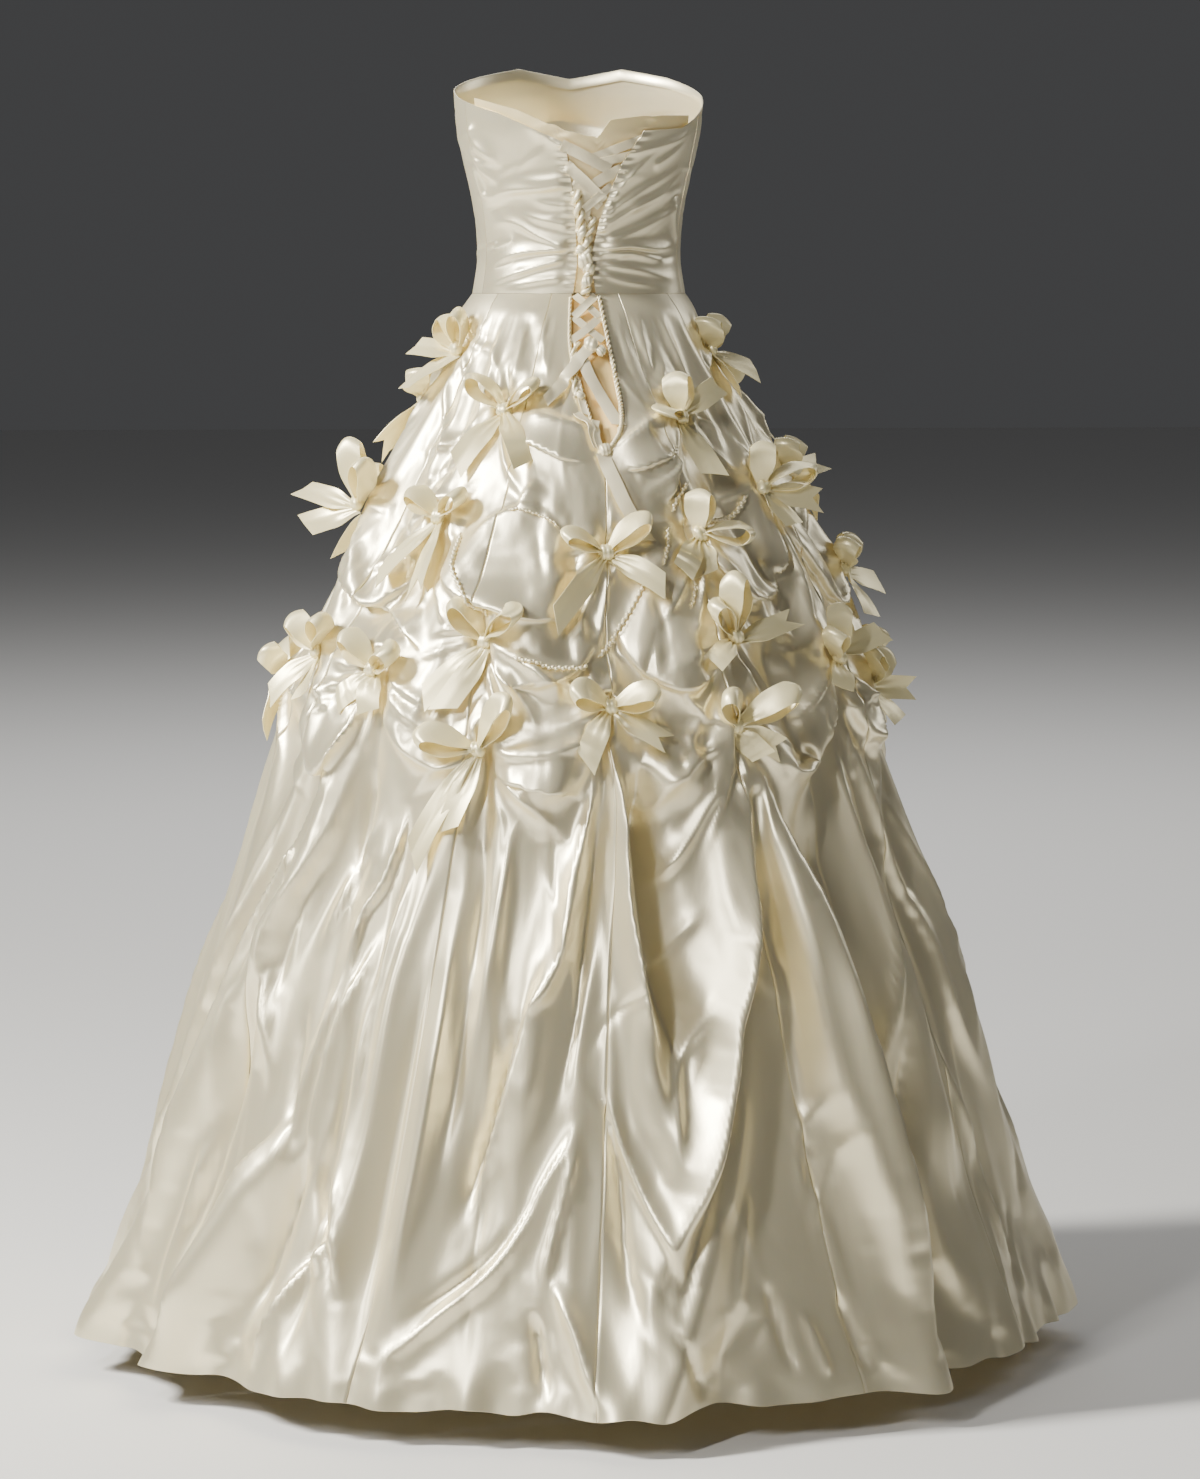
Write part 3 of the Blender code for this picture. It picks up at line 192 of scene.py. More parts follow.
# Creases charted on the photographed back, each a line of (angle, z) points.
BACK_CREASES = (
    # path, height, half breadth on the photo's right (or above a level line), half breadth on its left
    # (or below), growth from start to end, overhang towards the narrow side
    # left third: the rope fold, its step, and the lit panel beside them
    (((-48, -0.394), (-58, -0.529), (-64, -0.610), (-68, -0.725), (-70, -0.836), (-71, -0.936),
      (-73, -1.040)),
     0.019, 0.014, 0.006, 1.6, 0.008),
    (((-46, -0.413), (-52, -0.545), (-59, -0.640), (-54, -0.771), (-54, -0.860)),
     0.008, 0.010, 0.009, 1.2, 0.0),
    (((-73, -0.450), (-72, -0.570), (-74, -0.720), (-78, -0.830), (-92, -1.000)),
     0.009, 0.016, 0.012, 1.6, 0.0),
    (((-45, -0.450), (-46, -0.537), (-45, -0.610)), -0.010, 0.012, 0.006, 1.1, 0.0),
    (((-36, -0.495), (-39, -0.571), (-42, -0.610), (-43, -0.675)), 0.010, 0.005, 0.010, 1.0, 0.003),
    (((-41, -0.500), (-47, -0.590), (-50, -0.660)), 0.007, 0.006, 0.008, 1.1, 0.0),
    (((-37, -0.610), (-41, -0.685), (-43, -0.743), (-44, -0.810), (-44, -0.880)),
     0.009, 0.011, 0.005, 1.2, 0.003),
    (((-50, -0.690), (-49, -0.780), (-46, -0.860)), -0.008, 0.008, 0.008, 1.2, 0.0),
    (((-44, -0.825), (-46, -0.910), (-49, -1.035)), -0.014, 0.012, 0.007, 1.4, 0.0),
    (((-48, -0.810), (-53, -0.874), (-57, -0.979), (-60, -1.065)), 0.019, 0.024, 0.005, 1.5, 0.012),
    (((-62, -0.820), (-65, -0.920), (-66, -1.050)), 0.008, 0.010, 0.012, 1.4, 0.0),
    (((-41, -0.815), (-41, -0.881), (-37, -0.934), (-34, -0.990)), -0.009, 0.007, 0.006, 1.3, 0.0),
    (((-38, -0.845), (-36, -0.910), (-34, -0.985)), 0.007, 0.005, 0.007, 1.2, 0.0),
    (((-35, -0.900), (-43, -0.985), (-46, -1.065)), 0.010, 0.012, 0.005, 1.2, 0.004),
    (((-66, -0.460), (-70, -0.600), (-78, -0.800), (-84, -1.020)), 0.010, 0.009, 0.008, 1.5, 0.0),
    (((-56, -0.620), (-60, -0.740), (-62, -0.860), (-66, -1.030)), -0.012, 0.009, 0.008, 1.5, 0.0),
    (((-50, -0.520), (-55, -0.620), (-56, -0.730)), -0.010, 0.008, 0.009, 1.2, 0.0),
    (((-42, -0.640), (-46, -0.760), (-49, -0.900)), 0.009, 0.007, 0.009, 1.3, 0.0),
    (((-39, -0.690), (-40, -0.820), (-40, -0.950), (-41, -1.060)), -0.011, 0.007, 0.008, 1.4, 0.0),
    (((-33, -0.540), (-37, -0.690), (-38, -0.830)), 0.009, 0.007, 0.009, 1.3, 0.0),
    # the broad middle of the left: soft lit strips and the valleys between them
    (((-29, -0.540), (-33, -0.660), (-34, -0.780), (-35, -0.900), (-36, -1.030)),
     0.010, 0.013, 0.016, 1.4, 0.0),
    (((-28, -0.640), (-30, -0.800), (-31, -0.950), (-31, -1.050)), -0.011, 0.009, 0.011, 1.4, 0.0),
    (((-24, -0.550), (-25, -0.640), (-25, -0.728), (-26, -0.821), (-27, -0.904), (-28, -1.020)),
     0.011, 0.007, 0.014, 1.4, 0.002),
    (((-20, -0.520), (-21, -0.640), (-22, -0.760), (-24, -0.880)), -0.009, 0.008, 0.008, 1.4, 0.0),
    (((-16, -0.500), (-17, -0.600), (-19, -0.700), (-20, -0.800)), 0.009, 0.008, 0.012, 1.3, 0.0),
    (((-9, -0.640), (-13, -0.720), (-17, -0.818), (-21, -0.920)), -0.017, 0.006, 0.011, 1.3, 0.0),
    (((-8, -0.620), (-12, -0.710), (-15, -0.800), (-19, -0.910)), 0.012, 0.012, 0.005, 1.3, 0.006),
    (((-3, -0.490), (-4, -0.555), (-6, -0.600), (-9, -0.665), (-13, -0.711), (-14, -0.790)),
     0.011, 0.006, 0.010, 1.2, 0.002),
    (((-1, -0.430), (-2, -0.485), (-6, -0.573), (-7, -0.637), (-11, -0.710)), 0.010, 0.006, 0.006, 1.2, 0.0),
    (((0, -0.460), (-3, -0.590), (-5, -0.700), (-8, -0.800)), -0.010, 0.006, 0.007, 1.3, 0.0),
    # the arrow of flat facets below the middle, and the folds that sweep from it to the hem
    (((-2, -0.750), (1, -0.839), (2, -0.943), (4, -1.020)), -0.011, 0.004, 0.012, 1.3, 0.0),
    (((-1, -0.765), (2, -0.830), (5, -0.886), (9, -0.960)), 0.011, 0.012, 0.004, 1.2, 0.003),
    (((-3, -0.785), (-9, -0.866), (-15, -0.940), (-22, -0.991), (-30, -1.050)),
     0.012, 0.010, 0.007, 1.3, 0.003),
    (((-6, -0.830), (-13, -0.910), (-19, -0.955), (-27, -1.000)), -0.008, 0.007, 0.007, 1.3, 0.0),
    (((-4, -0.805), (-8, -0.920), (-9, -0.980)), 0.008, 0.006, 0.005, 1.2, 0.0),
    (((-8, -0.940), (-5, -0.985), (-3, -1.035), (-2, -1.078)), 0.015, 0.010, 0.008, 1.3, 0.003),
    (((-10, -0.975), (-9, -1.020), (-8, -1.075)), -0.011, 0.006, 0.007, 1.2, 0.0),
    # the narrow pleat under the middle bow and the deep hollow on its right
    (((1.5, -0.415), (2.5, -0.500), (3, -0.587), (5, -0.679), (8, -0.750)), 0.018, 0.005, 0.016, 1.1, 0.007),
    (((8, -0.425), (6.5, -0.520), (6.5, -0.600), (8, -0.680), (11, -0.760)), -0.030, 0.016, 0.006, 1.3, 0.0),
    (((3, -0.440), (8, -0.500), (13, -0.468), (19, -0.441), (26, -0.430)), 0.011, 0.018, 0.010, 1.0, 0.0),
    (((7, -0.585), (14, -0.538), (19, -0.493), (24, -0.448)), 0.010, 0.010, 0.009, 1.0, 0.0),
    (((8, -0.660), (12, -0.625), (17, -0.590)), 0.004, 0.007, 0.009, 1.0, 0.0),
    # the great fold that sweeps from the right bow to the hem's middle
    (((26, -0.445), (23, -0.569), (20, -0.642), (17, -0.706), (15, -0.774), (11, -0.855), (6, -0.926),
      (2, -1.010)),
     0.028, 0.013, 0.019, 1.5, 0.006),
    (((17, -0.660), (11, -0.736), (9, -0.795), (7, -0.885)), 0.011, 0.008, 0.010, 1.2, 0.0),
    (((27, -0.470), (25, -0.593), (21, -0.707), (17, -0.798), (13, -0.870), (9, -0.945), (5, -1.040)),
     -0.028, 0.013, 0.009, 1.5, 0.0),
    (((28, -0.445), (30, -0.534), (31, -0.618), (31, -0.684), (32, -0.760), (34, -0.837), (36, -0.942),
      (36, -1.060)),
     0.013, 0.009, 0.012, 1.5, 0.0),
    (((30, -0.510), (28, -0.627), (29, -0.688), (28, -0.830)), -0.010, 0.006, 0.006, 1.3, 0.0),
    (((28.5, -0.445), (34, -0.573), (35.5, -0.715), (37.5, -0.840), (39, -0.944), (38, -1.070)),
     0.032, 0.007, 0.024, 1.5, 0.016),
    (((34, -0.470), (39, -0.585), (41, -0.690), (43, -0.813), (43, -0.970)), -0.034, 0.018, 0.009, 1.4, 0.0),
    (((33, -0.765), (28, -0.812), (27, -0.855), (27, -0.915)), 0.0035, 0.008, 0.006, 1.0, 0.0),
    (((35, -0.800), (31, -0.840), (29, -0.880), (26, -0.930)), 0.0035, 0.007, 0.006, 1.0, 0.0),
    (((21, -0.770), (18, -0.845), (15, -0.910)), 0.005, 0.007, 0.009, 1.2, 0.0),
    (((20, -0.860), (17, -0.935), (15, -1.000)), 0.006, 0.009, 0.007, 1.2, 0.0),
    (((20, -0.950), (21, -1.001), (22, -1.055)), -0.008, 0.006, 0.006, 1.2, 0.0),
    (((24, -0.985), (25, -1.020), (26, -1.062)), 0.008, 0.006, 0.005, 1.2, 0.0),
    (((29, -0.965), (30, -1.010), (31, -1.066)), -0.008, 0.005, 0.006, 1.2, 0.0),
    (((6, -0.985), (9, -1.038), (10, -1.072)), -0.009, 0.006, 0.006, 1.2, 0.0),
    # right third: dark steep folds
    (((44, -0.455), (44, -0.545), (45, -0.627), (46, -0.685)), 0.011, 0.006, 0.006, 1.2, 0.0),
    (((46, -0.665), (44, -0.740), (42, -0.860)), 0.008, 0.007, 0.007, 1.2, 0.0),
    (((51, -0.430), (52, -0.530), (53, -0.633), (51, -0.704), (47, -0.810)), 0.011, 0.007, 0.008, 1.2, 0.0),
    (((54, -0.445), (57, -0.580), (59, -0.700), (60, -0.870)), -0.013, 0.010, 0.010, 1.3, 0.0),
    (((52, -0.395), (58, -0.470), (61, -0.556), (66, -0.643), (68, -0.734), (76, -0.840)),
     0.016, 0.013, 0.010, 1.5, 0.003),
    (((61, -0.430), (72, -0.620), (84, -0.780), (86, -0.900), (95, -1.060)), 0.010, 0.014, 0.010, 1.6, 0.0),
    (((53, -0.715), (50, -0.822), (48, -0.908), (48, -1.010)), -0.012, 0.010, 0.006, 1.3, 0.0),
    (((48, -0.780), (50, -0.880), (52, -1.040)), 0.010, 0.012, 0.008, 1.3, 0.0),
    (((58, -0.710), (62, -0.800), (66, -0.900), (68, -1.030)), 0.009, 0.010, 0.012, 1.4, 0.0),
    # lower edges of the puffs, which hang over the cloth below
    (((-66, -0.370), (-62, -0.440), (-55, -0.460), (-48, -0.400)), 0.014, 0.026, 0.007, 1.0, 0.010),
    (((-46, -0.385), (-38, -0.430), (-30, -0.455), (-22, -0.455)), 0.008, 0.026, 0.010, 1.0, 0.004),
    (((-22, -0.462), (-14, -0.466), (-6, -0.476), (-3, -0.492)), 0.012, 0.022, 0.004, 1.0, 0.010),
    (((-20, -0.446), (-11, -0.440), (-3, -0.430), (1, -0.410)), 0.007, 0.010, 0.006, 1.0, 0.0),
    (((27, -0.430), (34, -0.456), (42, -0.462), (50, -0.425), (55, -0.375)), 0.009, 0.026, 0.012, 1.0, 0.004),
    (((55, -0.375), (60, -0.430), (66, -0.440), (71, -0.400)), 0.009, 0.022, 0.010, 1.0, 0.004),
    (((-82, -0.300), (-80, -0.400), (-70, -0.470), (-62, -0.510)), 0.012, 0.024, 0.007, 1.0, 0.010),
    # flaps and pockets between the bows
    (((-30, -0.116), (-17, -0.120), (-2, -0.136), (3, -0.156)), 0.006, 0.004, 0.014, 1.0, 0.003),
    (((-31, -0.132), (-19, -0.142), (-8, -0.158), (1, -0.168)), 0.008, 0.016, 0.004, 1.0, 0.007),
    (((4, -0.156), (12, -0.140), (20, -0.124), (30, -0.114)), 0.006, 0.004, 0.014, 1.0, 0.003),
    (((5, -0.176), (14, -0.166), (24, -0.148), (31, -0.132)), 0.008, 0.016, 0.004, 1.0, 0.007),
    (((24, -0.150), (21, -0.178), (18, -0.212)), 0.009, 0.005, 0.016, 1.0, 0.007),
    (((-19, -0.214), (-17, -0.200), (-15, -0.186)), 0.006, 0.006, 0.014, 1.0, 0.004),
    (((-31, -0.250), (-28, -0.228), (-21, -0.214), (-14, -0.214), (-9, -0.236)),
     0.005, 0.004, 0.016, 1.0, 0.003),
    (((-76, -0.235), (-66, -0.272), (-56, -0.285), (-47, -0.262), (-43, -0.225)),
     0.010, 0.026, 0.007, 1.0, 0.008),
    (((-62, -0.281), (-50, -0.295), (-42, -0.320), (-34, -0.357)), 0.010, 0.020, 0.005, 1.0, 0.009),
    (((-38, -0.268), (-34, -0.300), (-31, -0.330)), 0.007, 0.012, 0.006, 1.0, 0.004),
    (((-40, -0.230), (-30, -0.282), (-16, -0.306), (-4, -0.292), (2, -0.262)),
     0.011, 0.036, 0.008, 1.0, 0.010),
    (((22, -0.236), (29, -0.262), (36, -0.284), (46, -0.264), (53, -0.226), (54, -0.200)),
     0.011, 0.022, 0.005, 1.0, 0.012),
    (((54, -0.206), (62, -0.262), (72, -0.300), (82, -0.296)), 0.010, 0.026, 0.007, 1.0, 0.008),
    (((-24, -0.345), (-16, -0.372), (-6, -0.362), (2, -0.312)), 0.008, 0.020, 0.006, 1.0, 0.006),
    (((-15, -0.348), (-10, -0.369), (-8, -0.392)), 0.006, 0.005, 0.014, 1.0, 0.004),
    (((3, -0.312), (10, -0.358), (18, -0.372), (28, -0.346)), 0.011, 0.028, 0.008, 1.0, 0.008),
    (((36, -0.453), (40, -0.452), (45, -0.437)), -0.010, 0.012, 0.012, 1.0, 0.0),
    (((56, -0.378), (48, -0.352), (40, -0.338), (30, -0.338)), -0.008, 0.012, 0.012, 1.0, 0.0),
    # soft pipes below the waist
    (((-24, -0.012), (-21, -0.040), (-16, -0.090)), 0.005, 0.006, 0.010, 1.4, 0.0),
    (((-33, -0.012), (-31, -0.050), (-30, -0.100)), 0.005, 0.008, 0.008, 1.5, 0.0),
    (((-46, -0.015), (-42, -0.070), (-40, -0.180)), 0.006, 0.008, 0.010, 1.8, 0.0),
    (((-58, -0.020), (-54, -0.100), (-52, -0.200)), 0.006, 0.008, 0.012, 1.8, 0.0),
    (((25, -0.010), (27, -0.050), (30, -0.110)), 0.003, 0.009, 0.010, 1.4, 0.0),
    (((42, -0.015), (44, -0.080), (50, -0.170)), 0.005, 0.008, 0.010, 1.8, 0.0),
    (((14, -0.030), (16, -0.080), (20, -0.120)), -0.003, 0.008, 0.010, 1.4, 0.0),
)


def clear_startup():
    """Takes away what Blender starts with."""
    for name in ("Cube", "Light", "Camera"):
        item = bpy.data.objects.get(name)
        if item is not None:
            bpy.data.objects.remove(item, do_unlink=True)


# ------------------------------------------------------------------ surface maths
TINY = 1e-12  # keeps a division from meeting zero


def along(table, at):
    """The value of a (place, value) table at each place, straight between its rows."""
    rows = np.array(sorted(table))
    return np.interp(at, rows[:, 0], rows[:, 1])


def section_at(table, z):
    """The three half breadths at each height, on a smooth curve through the table's rows."""
    rows = np.array(sorted(table))
    heights, breadths = rows[:, 0], rows[:, 1:]
    slopes = np.gradient(breadths, heights, axis=0)
    z = np.clip(z, heights[0], heights[-1])
    low = np.clip(np.searchsorted(heights, z, side="right") - 1, 0, len(heights) - 2)
    span = heights[low + 1] - heights[low]
    t = ((z - heights[low]) / span)[..., None]
    span = span[..., None]
    start = (1 + 2 * t) * (1 - t) ** 2 * breadths[low] + t * (1 - t) ** 2 * span * slopes[low]
    end = t**2 * (3 - 2 * t) * breadths[low + 1] + t**2 * (t - 1) * span * slopes[low + 1]
    return start + end


def section_radius(table, angle, z):
    """Distance from the axis to a section's oval, at an angle in degrees."""
    side, back, front = np.moveaxis(section_at(table, z), -1, 0)
    turn = np.radians(angle)
    depth = np.where(np.cos(turn) > 0, back, front)
    return 1 / np.sqrt((np.sin(turn) / side) ** 2 + (np.cos(turn) / depth) ** 2)


def wrapped(angle):
    """The same angle between -180 and 180 degrees."""
    return (angle + 180.0) % 360.0 - 180.0


def smooth_step(t):
    """Eases from 0 to 1, and stays at either beyond them."""
    t = np.clip(t, 0.0, 1.0)
    return t * t * (3 - 2 * t)


def ring_point(radius, angle, z):
    """Points at a radius, an angle in degrees and a height."""
    turn = np.radians(angle)
    return np.stack([-radius * np.sin(turn), radius * np.cos(turn), z + 0 * turn], axis=-1)


def unit(vectors):
    """The same directions, each of length 1."""
    return vectors / np.maximum(np.linalg.norm(vectors, axis=-1, keepdims=True), TINY)


PATH_END_GAP = 1e-9  # keeps the last place within the last stretch of a path


def smooth_line(path, count):
    """A path through its points on a Catmull-Rom curve."""
    points = np.array(path, float)
    padded = np.vstack([2 * points[0] - points[1], points, 2 * points[-1] - points[-2]])
    place = np.linspace(0, len(points) - 1 - PATH_END_GAP, count)
    index = place.astype(int)
    t = (place - index)[:, None]
    a, b, c, d = (padded[index + step] for step in range(4))
    return 0.5 * (2 * b + (c - a) * t + (2 * a - 5 * b + 4 * c - d) * t**2 + (3 * b - a - 3 * c + d) * t**3)


LINE_STEPS = 4  # places on a crease's line for each point of its path
CREASE_REACH = 2.6  # how many half breadths a crease reaches
CREASE_FALL = 1.25  # how fast its flank falls
CREASE_ROUND = 0.22  # how round its crest is
CREASE_FADES = (0.30, 0.32)  # the shares of its length over which it rises and dies away


def nearest_on(line, middle, across, z, radius):
    """For each place, the nearest point of a line: the gap to it, its share of the line's length, on
    which side the place lies, and the line's normal there."""
    lengths = np.hypot(np.radians(np.diff(line[:, 0])) * radius.mean(), np.diff(line[:, 1]))
    shares = np.concatenate([[0.0], np.cumsum(lengths)]) / lengths.sum()
    best = [np.full(across.shape, np.inf)] + [np.zeros(across.shape)] * 4
    for k in range(len(line) - 1):
        run = np.radians(line[k + 1, 0] - line[k, 0]) * radius
        rise = line[k + 1, 1] - line[k, 1]
        x = np.radians(across - (line[k, 0] - middle)) * radius
        y = z - line[k, 1]
        size = np.maximum(run**2 + rise**2, TINY)
        t = np.clip((x * run + y * rise) / size, 0.0, 1.0)
        gap = np.hypot(x - t * run, y - t * rise)
        share = shares[k] + t * (shares[k + 1] - shares[k])
        side = np.sign(run * y - rise * x)
        found = (gap, share, side, -rise / np.sqrt(size), run / np.sqrt(size))
        closer = gap < best[0]
        best = [np.where(closer, new, old) for new, old in zip(found, best)]
    return best


class Relief:
    """How far the cloth stands off its plain section at many places: outwards, sideways and upwards."""

    def __init__(self, angle, z, radius):
        self.angle = angle
        self.z = z
        self.radius = radius
        self.out = np.zeros(angle.shape)
        self.aside = np.zeros(angle.shape)
        self.up = np.zeros(angle.shape)

    def crease(self, path, height, plus, minus, growth=1.0, overhang=0.0, fades=CREASE_FADES):
        """Adds one crease, which grows along its path, rises and dies away at its ends and may lean over."""
        line = smooth_line(path, LINE_STEPS * len(path))
        widest = max(plus, minus) * max(growth, 1.0)
        middle = line[:, 0].mean()
        across = wrapped(self.angle - middle)
        near = self.within(line, middle, across, CREASE_REACH * widest)
        if not near.any():
            return
        places = across[near], self.z[near], self.radius[near]
        gap, share, side, lean_x, lean_y = nearest_on(line, middle, *places)
        grown = 1.0 + (growth - 1.0) * share
        breadth = np.where(side > 0, plus, minus) * grown
        rise = smooth_step(share / fades[0]) * smooth_step((1 - share) / fades[1])
        ratio = gap / breadth
        window = np.clip(1 - (ratio / CREASE_REACH) ** 2, 0.0, 1.0) ** 2
        shape = rise * window * np.exp(-CREASE_FALL * (np.sqrt(ratio**2 + CREASE_ROUND**2) - CREASE_ROUND))
        self.out[near] += height * shape
        towards = 1.0 if plus < minus else -1.0
        self.aside[near] += overhang * towards * lean_x * shape
        self.up[near] += overhang * towards * lean_y * shape

    def within(self, line, middle, across, reach):
        """Which places lie in the box round a line, taken a reach larger on every side."""
        span = np.degrees(reach / self.radius)
        low, high = line.min(axis=0), line.max(axis=0)
        near = (self.z > low[1] - reach) & (self.z < high[1] + reach)
        near &= (across > low[0] - middle - span) & (across < high[0] - middle + span)
        return near

    def points(self):
        """Where the cloth is, with all of its relief."""
        base = ring_point(self.radius + self.out, self.angle, self.z)
        turn = np.radians(self.angle)
        aside = np.stack([-np.cos(turn), -np.sin(turn), 0 * turn], axis=-1)
        return base + aside * self.aside[..., None] + np.array([0.0, 0.0, 1.0]) * self.up[..., None]


def fold_height(fold, angle, z, radius):
    """How far one long fold stands off, growing from its top to its foot."""
    top_z, foot_z, top, middle, foot, height, top_breadth, foot_breadth, steep = fold
    t = np.clip((top_z - z) / (top_z - foot_z), 0.0, 1.0)
    centre = top * (1 - t) * (1 - 2 * t) + middle * 4 * t * (1 - t) + foot * t * (2 * t - 1)
    across = np.radians(wrapped(angle - centre)) * radius
    breadth = top_breadth + (foot_breadth - top_breadth) * t
    breadth = np.where(across * steep > 0, STEEP_SIDE * breadth, breadth)
    reach = smooth_step((top_z - z) / FOLD_FADE) * smooth_step((z - foot_z) / FOLD_FADE + (foot_z < HEM_Z))
    growth = FOLD_TOP_SHARE + (1 - FOLD_TOP_SHARE) * t
    return height * reach * growth * np.exp(-((across / breadth) ** 2))


def swag_height(swag, angle, z):
    """How far one swag's puff stands off above its sagging lower edge."""
    start, start_z, end, end_z, sag, height = swag
    t = wrapped(angle - start) / (end - start)
    inside = np.clip(t, 0.0, 1.0)
    edge_z = start_z + (end_z - start_z) * inside - 4 * sag * inside * (1 - inside)
    above = z - edge_z
    breadth = np.where(above > 0, SWAG_ABOVE, SWAG_BELOW)
    ends = np.where((t > 0) & (t < 1), np.sin(pi * inside), 0.0)
    return height * ends * np.exp(-((above / breadth) ** 2))


def front_folds():
    """Rows like those of the long folds, for the hidden front."""
    for index, (angle, height) in enumerate(zip(FRONT_FOLD_ANGLES, FRONT_FOLD_HEIGHTS)):
        lean = FRONT_FOLD_LEAN * sin(FRONT_FOLD_SWAY * index)
        angles = (angle - lean, angle, angle + lean)
        yield (FRONT_FOLD_TOP_Z, FRONT_FOLD_FOOT_Z, *angles, height, *FRONT_FOLD_BREADTHS, 0)


# ------------------------------------------------------------------ bows: places and legs
# Each leg is (direction, length in mm, lift): 0 points to the photo's right along the cloth and 90 up it.
BOWS = (
    # angle, z, left loop, right loop, left tail, right tail
    (-70, -0.052, (150, 42, 22), (66, 44, 30), (-165, 54, 42), (-118, 72, 22)),
    (-32, -0.112, (154, 54, 16), (26, 52, 16), (-114, 78, 8), (-50, 90, 8)),
    (34, -0.119, (-163, 46, 16), (78, 46, 20), (-88, 74, 10), (22, 60, 26)),
    (80, -0.052, (150, 40, 20), (32, 40, 30), (-125, 58, 14), (-46, 64, 34)),
    (-76, -0.212, (112, 70, 34), (48, 58, 16), (-174, 78, 44), (-138, 72, 32)),
    (-43, -0.217, (158, 46, 16), (22, 46, 18), (-122, 90, 8), (-82, 84, 8)),
    (3, -0.252, (170, 52, 16), (34, 60, 18), (-124, 96, 8), (-28, 72, 14)),
    (25, -0.236, (78, 46, 18), (-18, 56, 14), (-132, 50, 10), (-100, 44, 10)),
    (54, -0.192, (88, 48, 24), (-8, 66, 30), (-72, 50, 16), (-34, 66, 34)),
    (85, -0.176, (150, 40, 16), (30, 40, 28), (-120, 56, 12), (-18, 66, 40)),
    (80, -0.282, (140, 40, 16), (60, 38, 26), (-100, 56, 12), (-34, 56, 36)),
    (-66, -0.358, (152, 50, 34), (48, 46, 14), (-118, 68, 24), (-80, 48, 12)),
    (-46, -0.371, (148, 52, 18), (12, 50, 18), (-140, 50, 10), (-84, 42, 10)),
    (-24, -0.337, (150, 52, 18), (12, 52, 18), (-136, 86, 8), (-112, 84, 8)),
    (28, -0.336, (146, 48, 18), (80, 66, 18), (-150, 46, 12), (12, 74, 14)),
    (55, -0.365, (150, 46, 18), (78, 56, 24), (-128, 38, 16), (18, 66, 38)),
    (-22, -0.447, (176, 66, 14), (46, 68, 16), (-124, 128, 8), (-108, 88, 10)),
    (1, -0.403, (166, 50, 18), (10, 54, 18), (-122, 62, 10), (-34, 64, 12)),
    (27, -0.426, (126, 46, 20), (24, 76, 20), (-50, 40, 12), (-28, 50, 22)),
    (70, -0.398, (130, 44, 18), (44, 42, 26), (-54, 56, 32), (-12, 62, 42)),
)
FRONT_BOW_PLACES = (
    # angle, z
    (112, -0.095), (148, -0.060), (212, -0.066), (248, -0.105),
    (120, -0.225), (158, -0.205), (198, -0.235), (238, -0.215),
    (104, -0.372), (140, -0.352), (180, -0.402), (222, -0.360), (254, -0.398),
)
FRONT_BOW_LEGS = (
    # left loop, right loop, left tail, right tail
    ((162, 50, 16), (20, 50, 16), (-118, 76, 10), (-62, 70, 10)),
    ((148, 48, 16), (34, 52, 16), (-130, 64, 10), (-84, 82, 10)),
    ((172, 52, 16), (12, 48, 16), (-106, 84, 10), (-50, 60, 10)),
)
PULLS_PER_BOW = 9
PULL_SEED = 41
PULL_WANDER = 0.3  # how far a pull's direction strays, as a share of the pitch between two
PULL_LENGTHS = (0.045, 0.080)
PULL_LONGER = (1.30, 0.60)  # share of the length for a level pull, and what a downward one adds
PULL_BEND = 0.35  # the most that a pull turns, in radians
PULL_SHARES = (0.12, 0.45, 0.75, 1.0)  # of its length, where its path has points
PULL_SAG = 0.004  # how far its far end hangs
PULL_HEIGHTS = (0.0028, 0.0058)
PULL_HIGHER = (1.15, 0.35)  # the same two shares of the height
PULL_BREADTHS = (0.0030, 0.0046)
PULL_OTHER_SIDE = (0.8, 1.5)  # breadth of its minus side, as a share of the plus side's
PULL_GROWTH = 2.0  # how many times broader a pull is at its far end
PULL_FADES = (0.25, 0.6)


def all_bow_places():
    """The angle and height of every bow, those of the back first."""
    return [bow[:2] for bow in BOWS] + list(FRONT_BOW_PLACES)


def add_pulls(relief, index, angle, z):
    """The small folds that spring from a tied place, most of them downwards and to the sides."""
    rng = np.random.default_rng(PULL_SEED + index)
    radius = float(section_radius(SKIRT_SECTIONS, np.array(float(angle)), np.array(z)))
    for k in range(PULLS_PER_BOW):
        direction = 2 * pi * (k + rng.uniform(-PULL_WANDER, PULL_WANDER)) / PULLS_PER_BOW
        length = rng.uniform(*PULL_LENGTHS) * (PULL_LONGER[0] - PULL_LONGER[1] * sin(direction))
        bend = rng.uniform(-PULL_BEND, PULL_BEND)
        path = []
        for share in PULL_SHARES:
            turn = direction + bend * share
            across = cos(turn) * length * share
            lower = PULL_SAG * share**2
            path.append((angle + degrees(across / radius), z + sin(turn) * length * share - lower))
        height = rng.uniform(*PULL_HEIGHTS) * (PULL_HIGHER[0] - PULL_HIGHER[1] * sin(direction))
        plus = rng.uniform(*PULL_BREADTHS)
        minus = plus * rng.uniform(*PULL_OTHER_SIDE)
        relief.crease(path, height, plus, minus, PULL_GROWTH, 0.0, PULL_FADES)


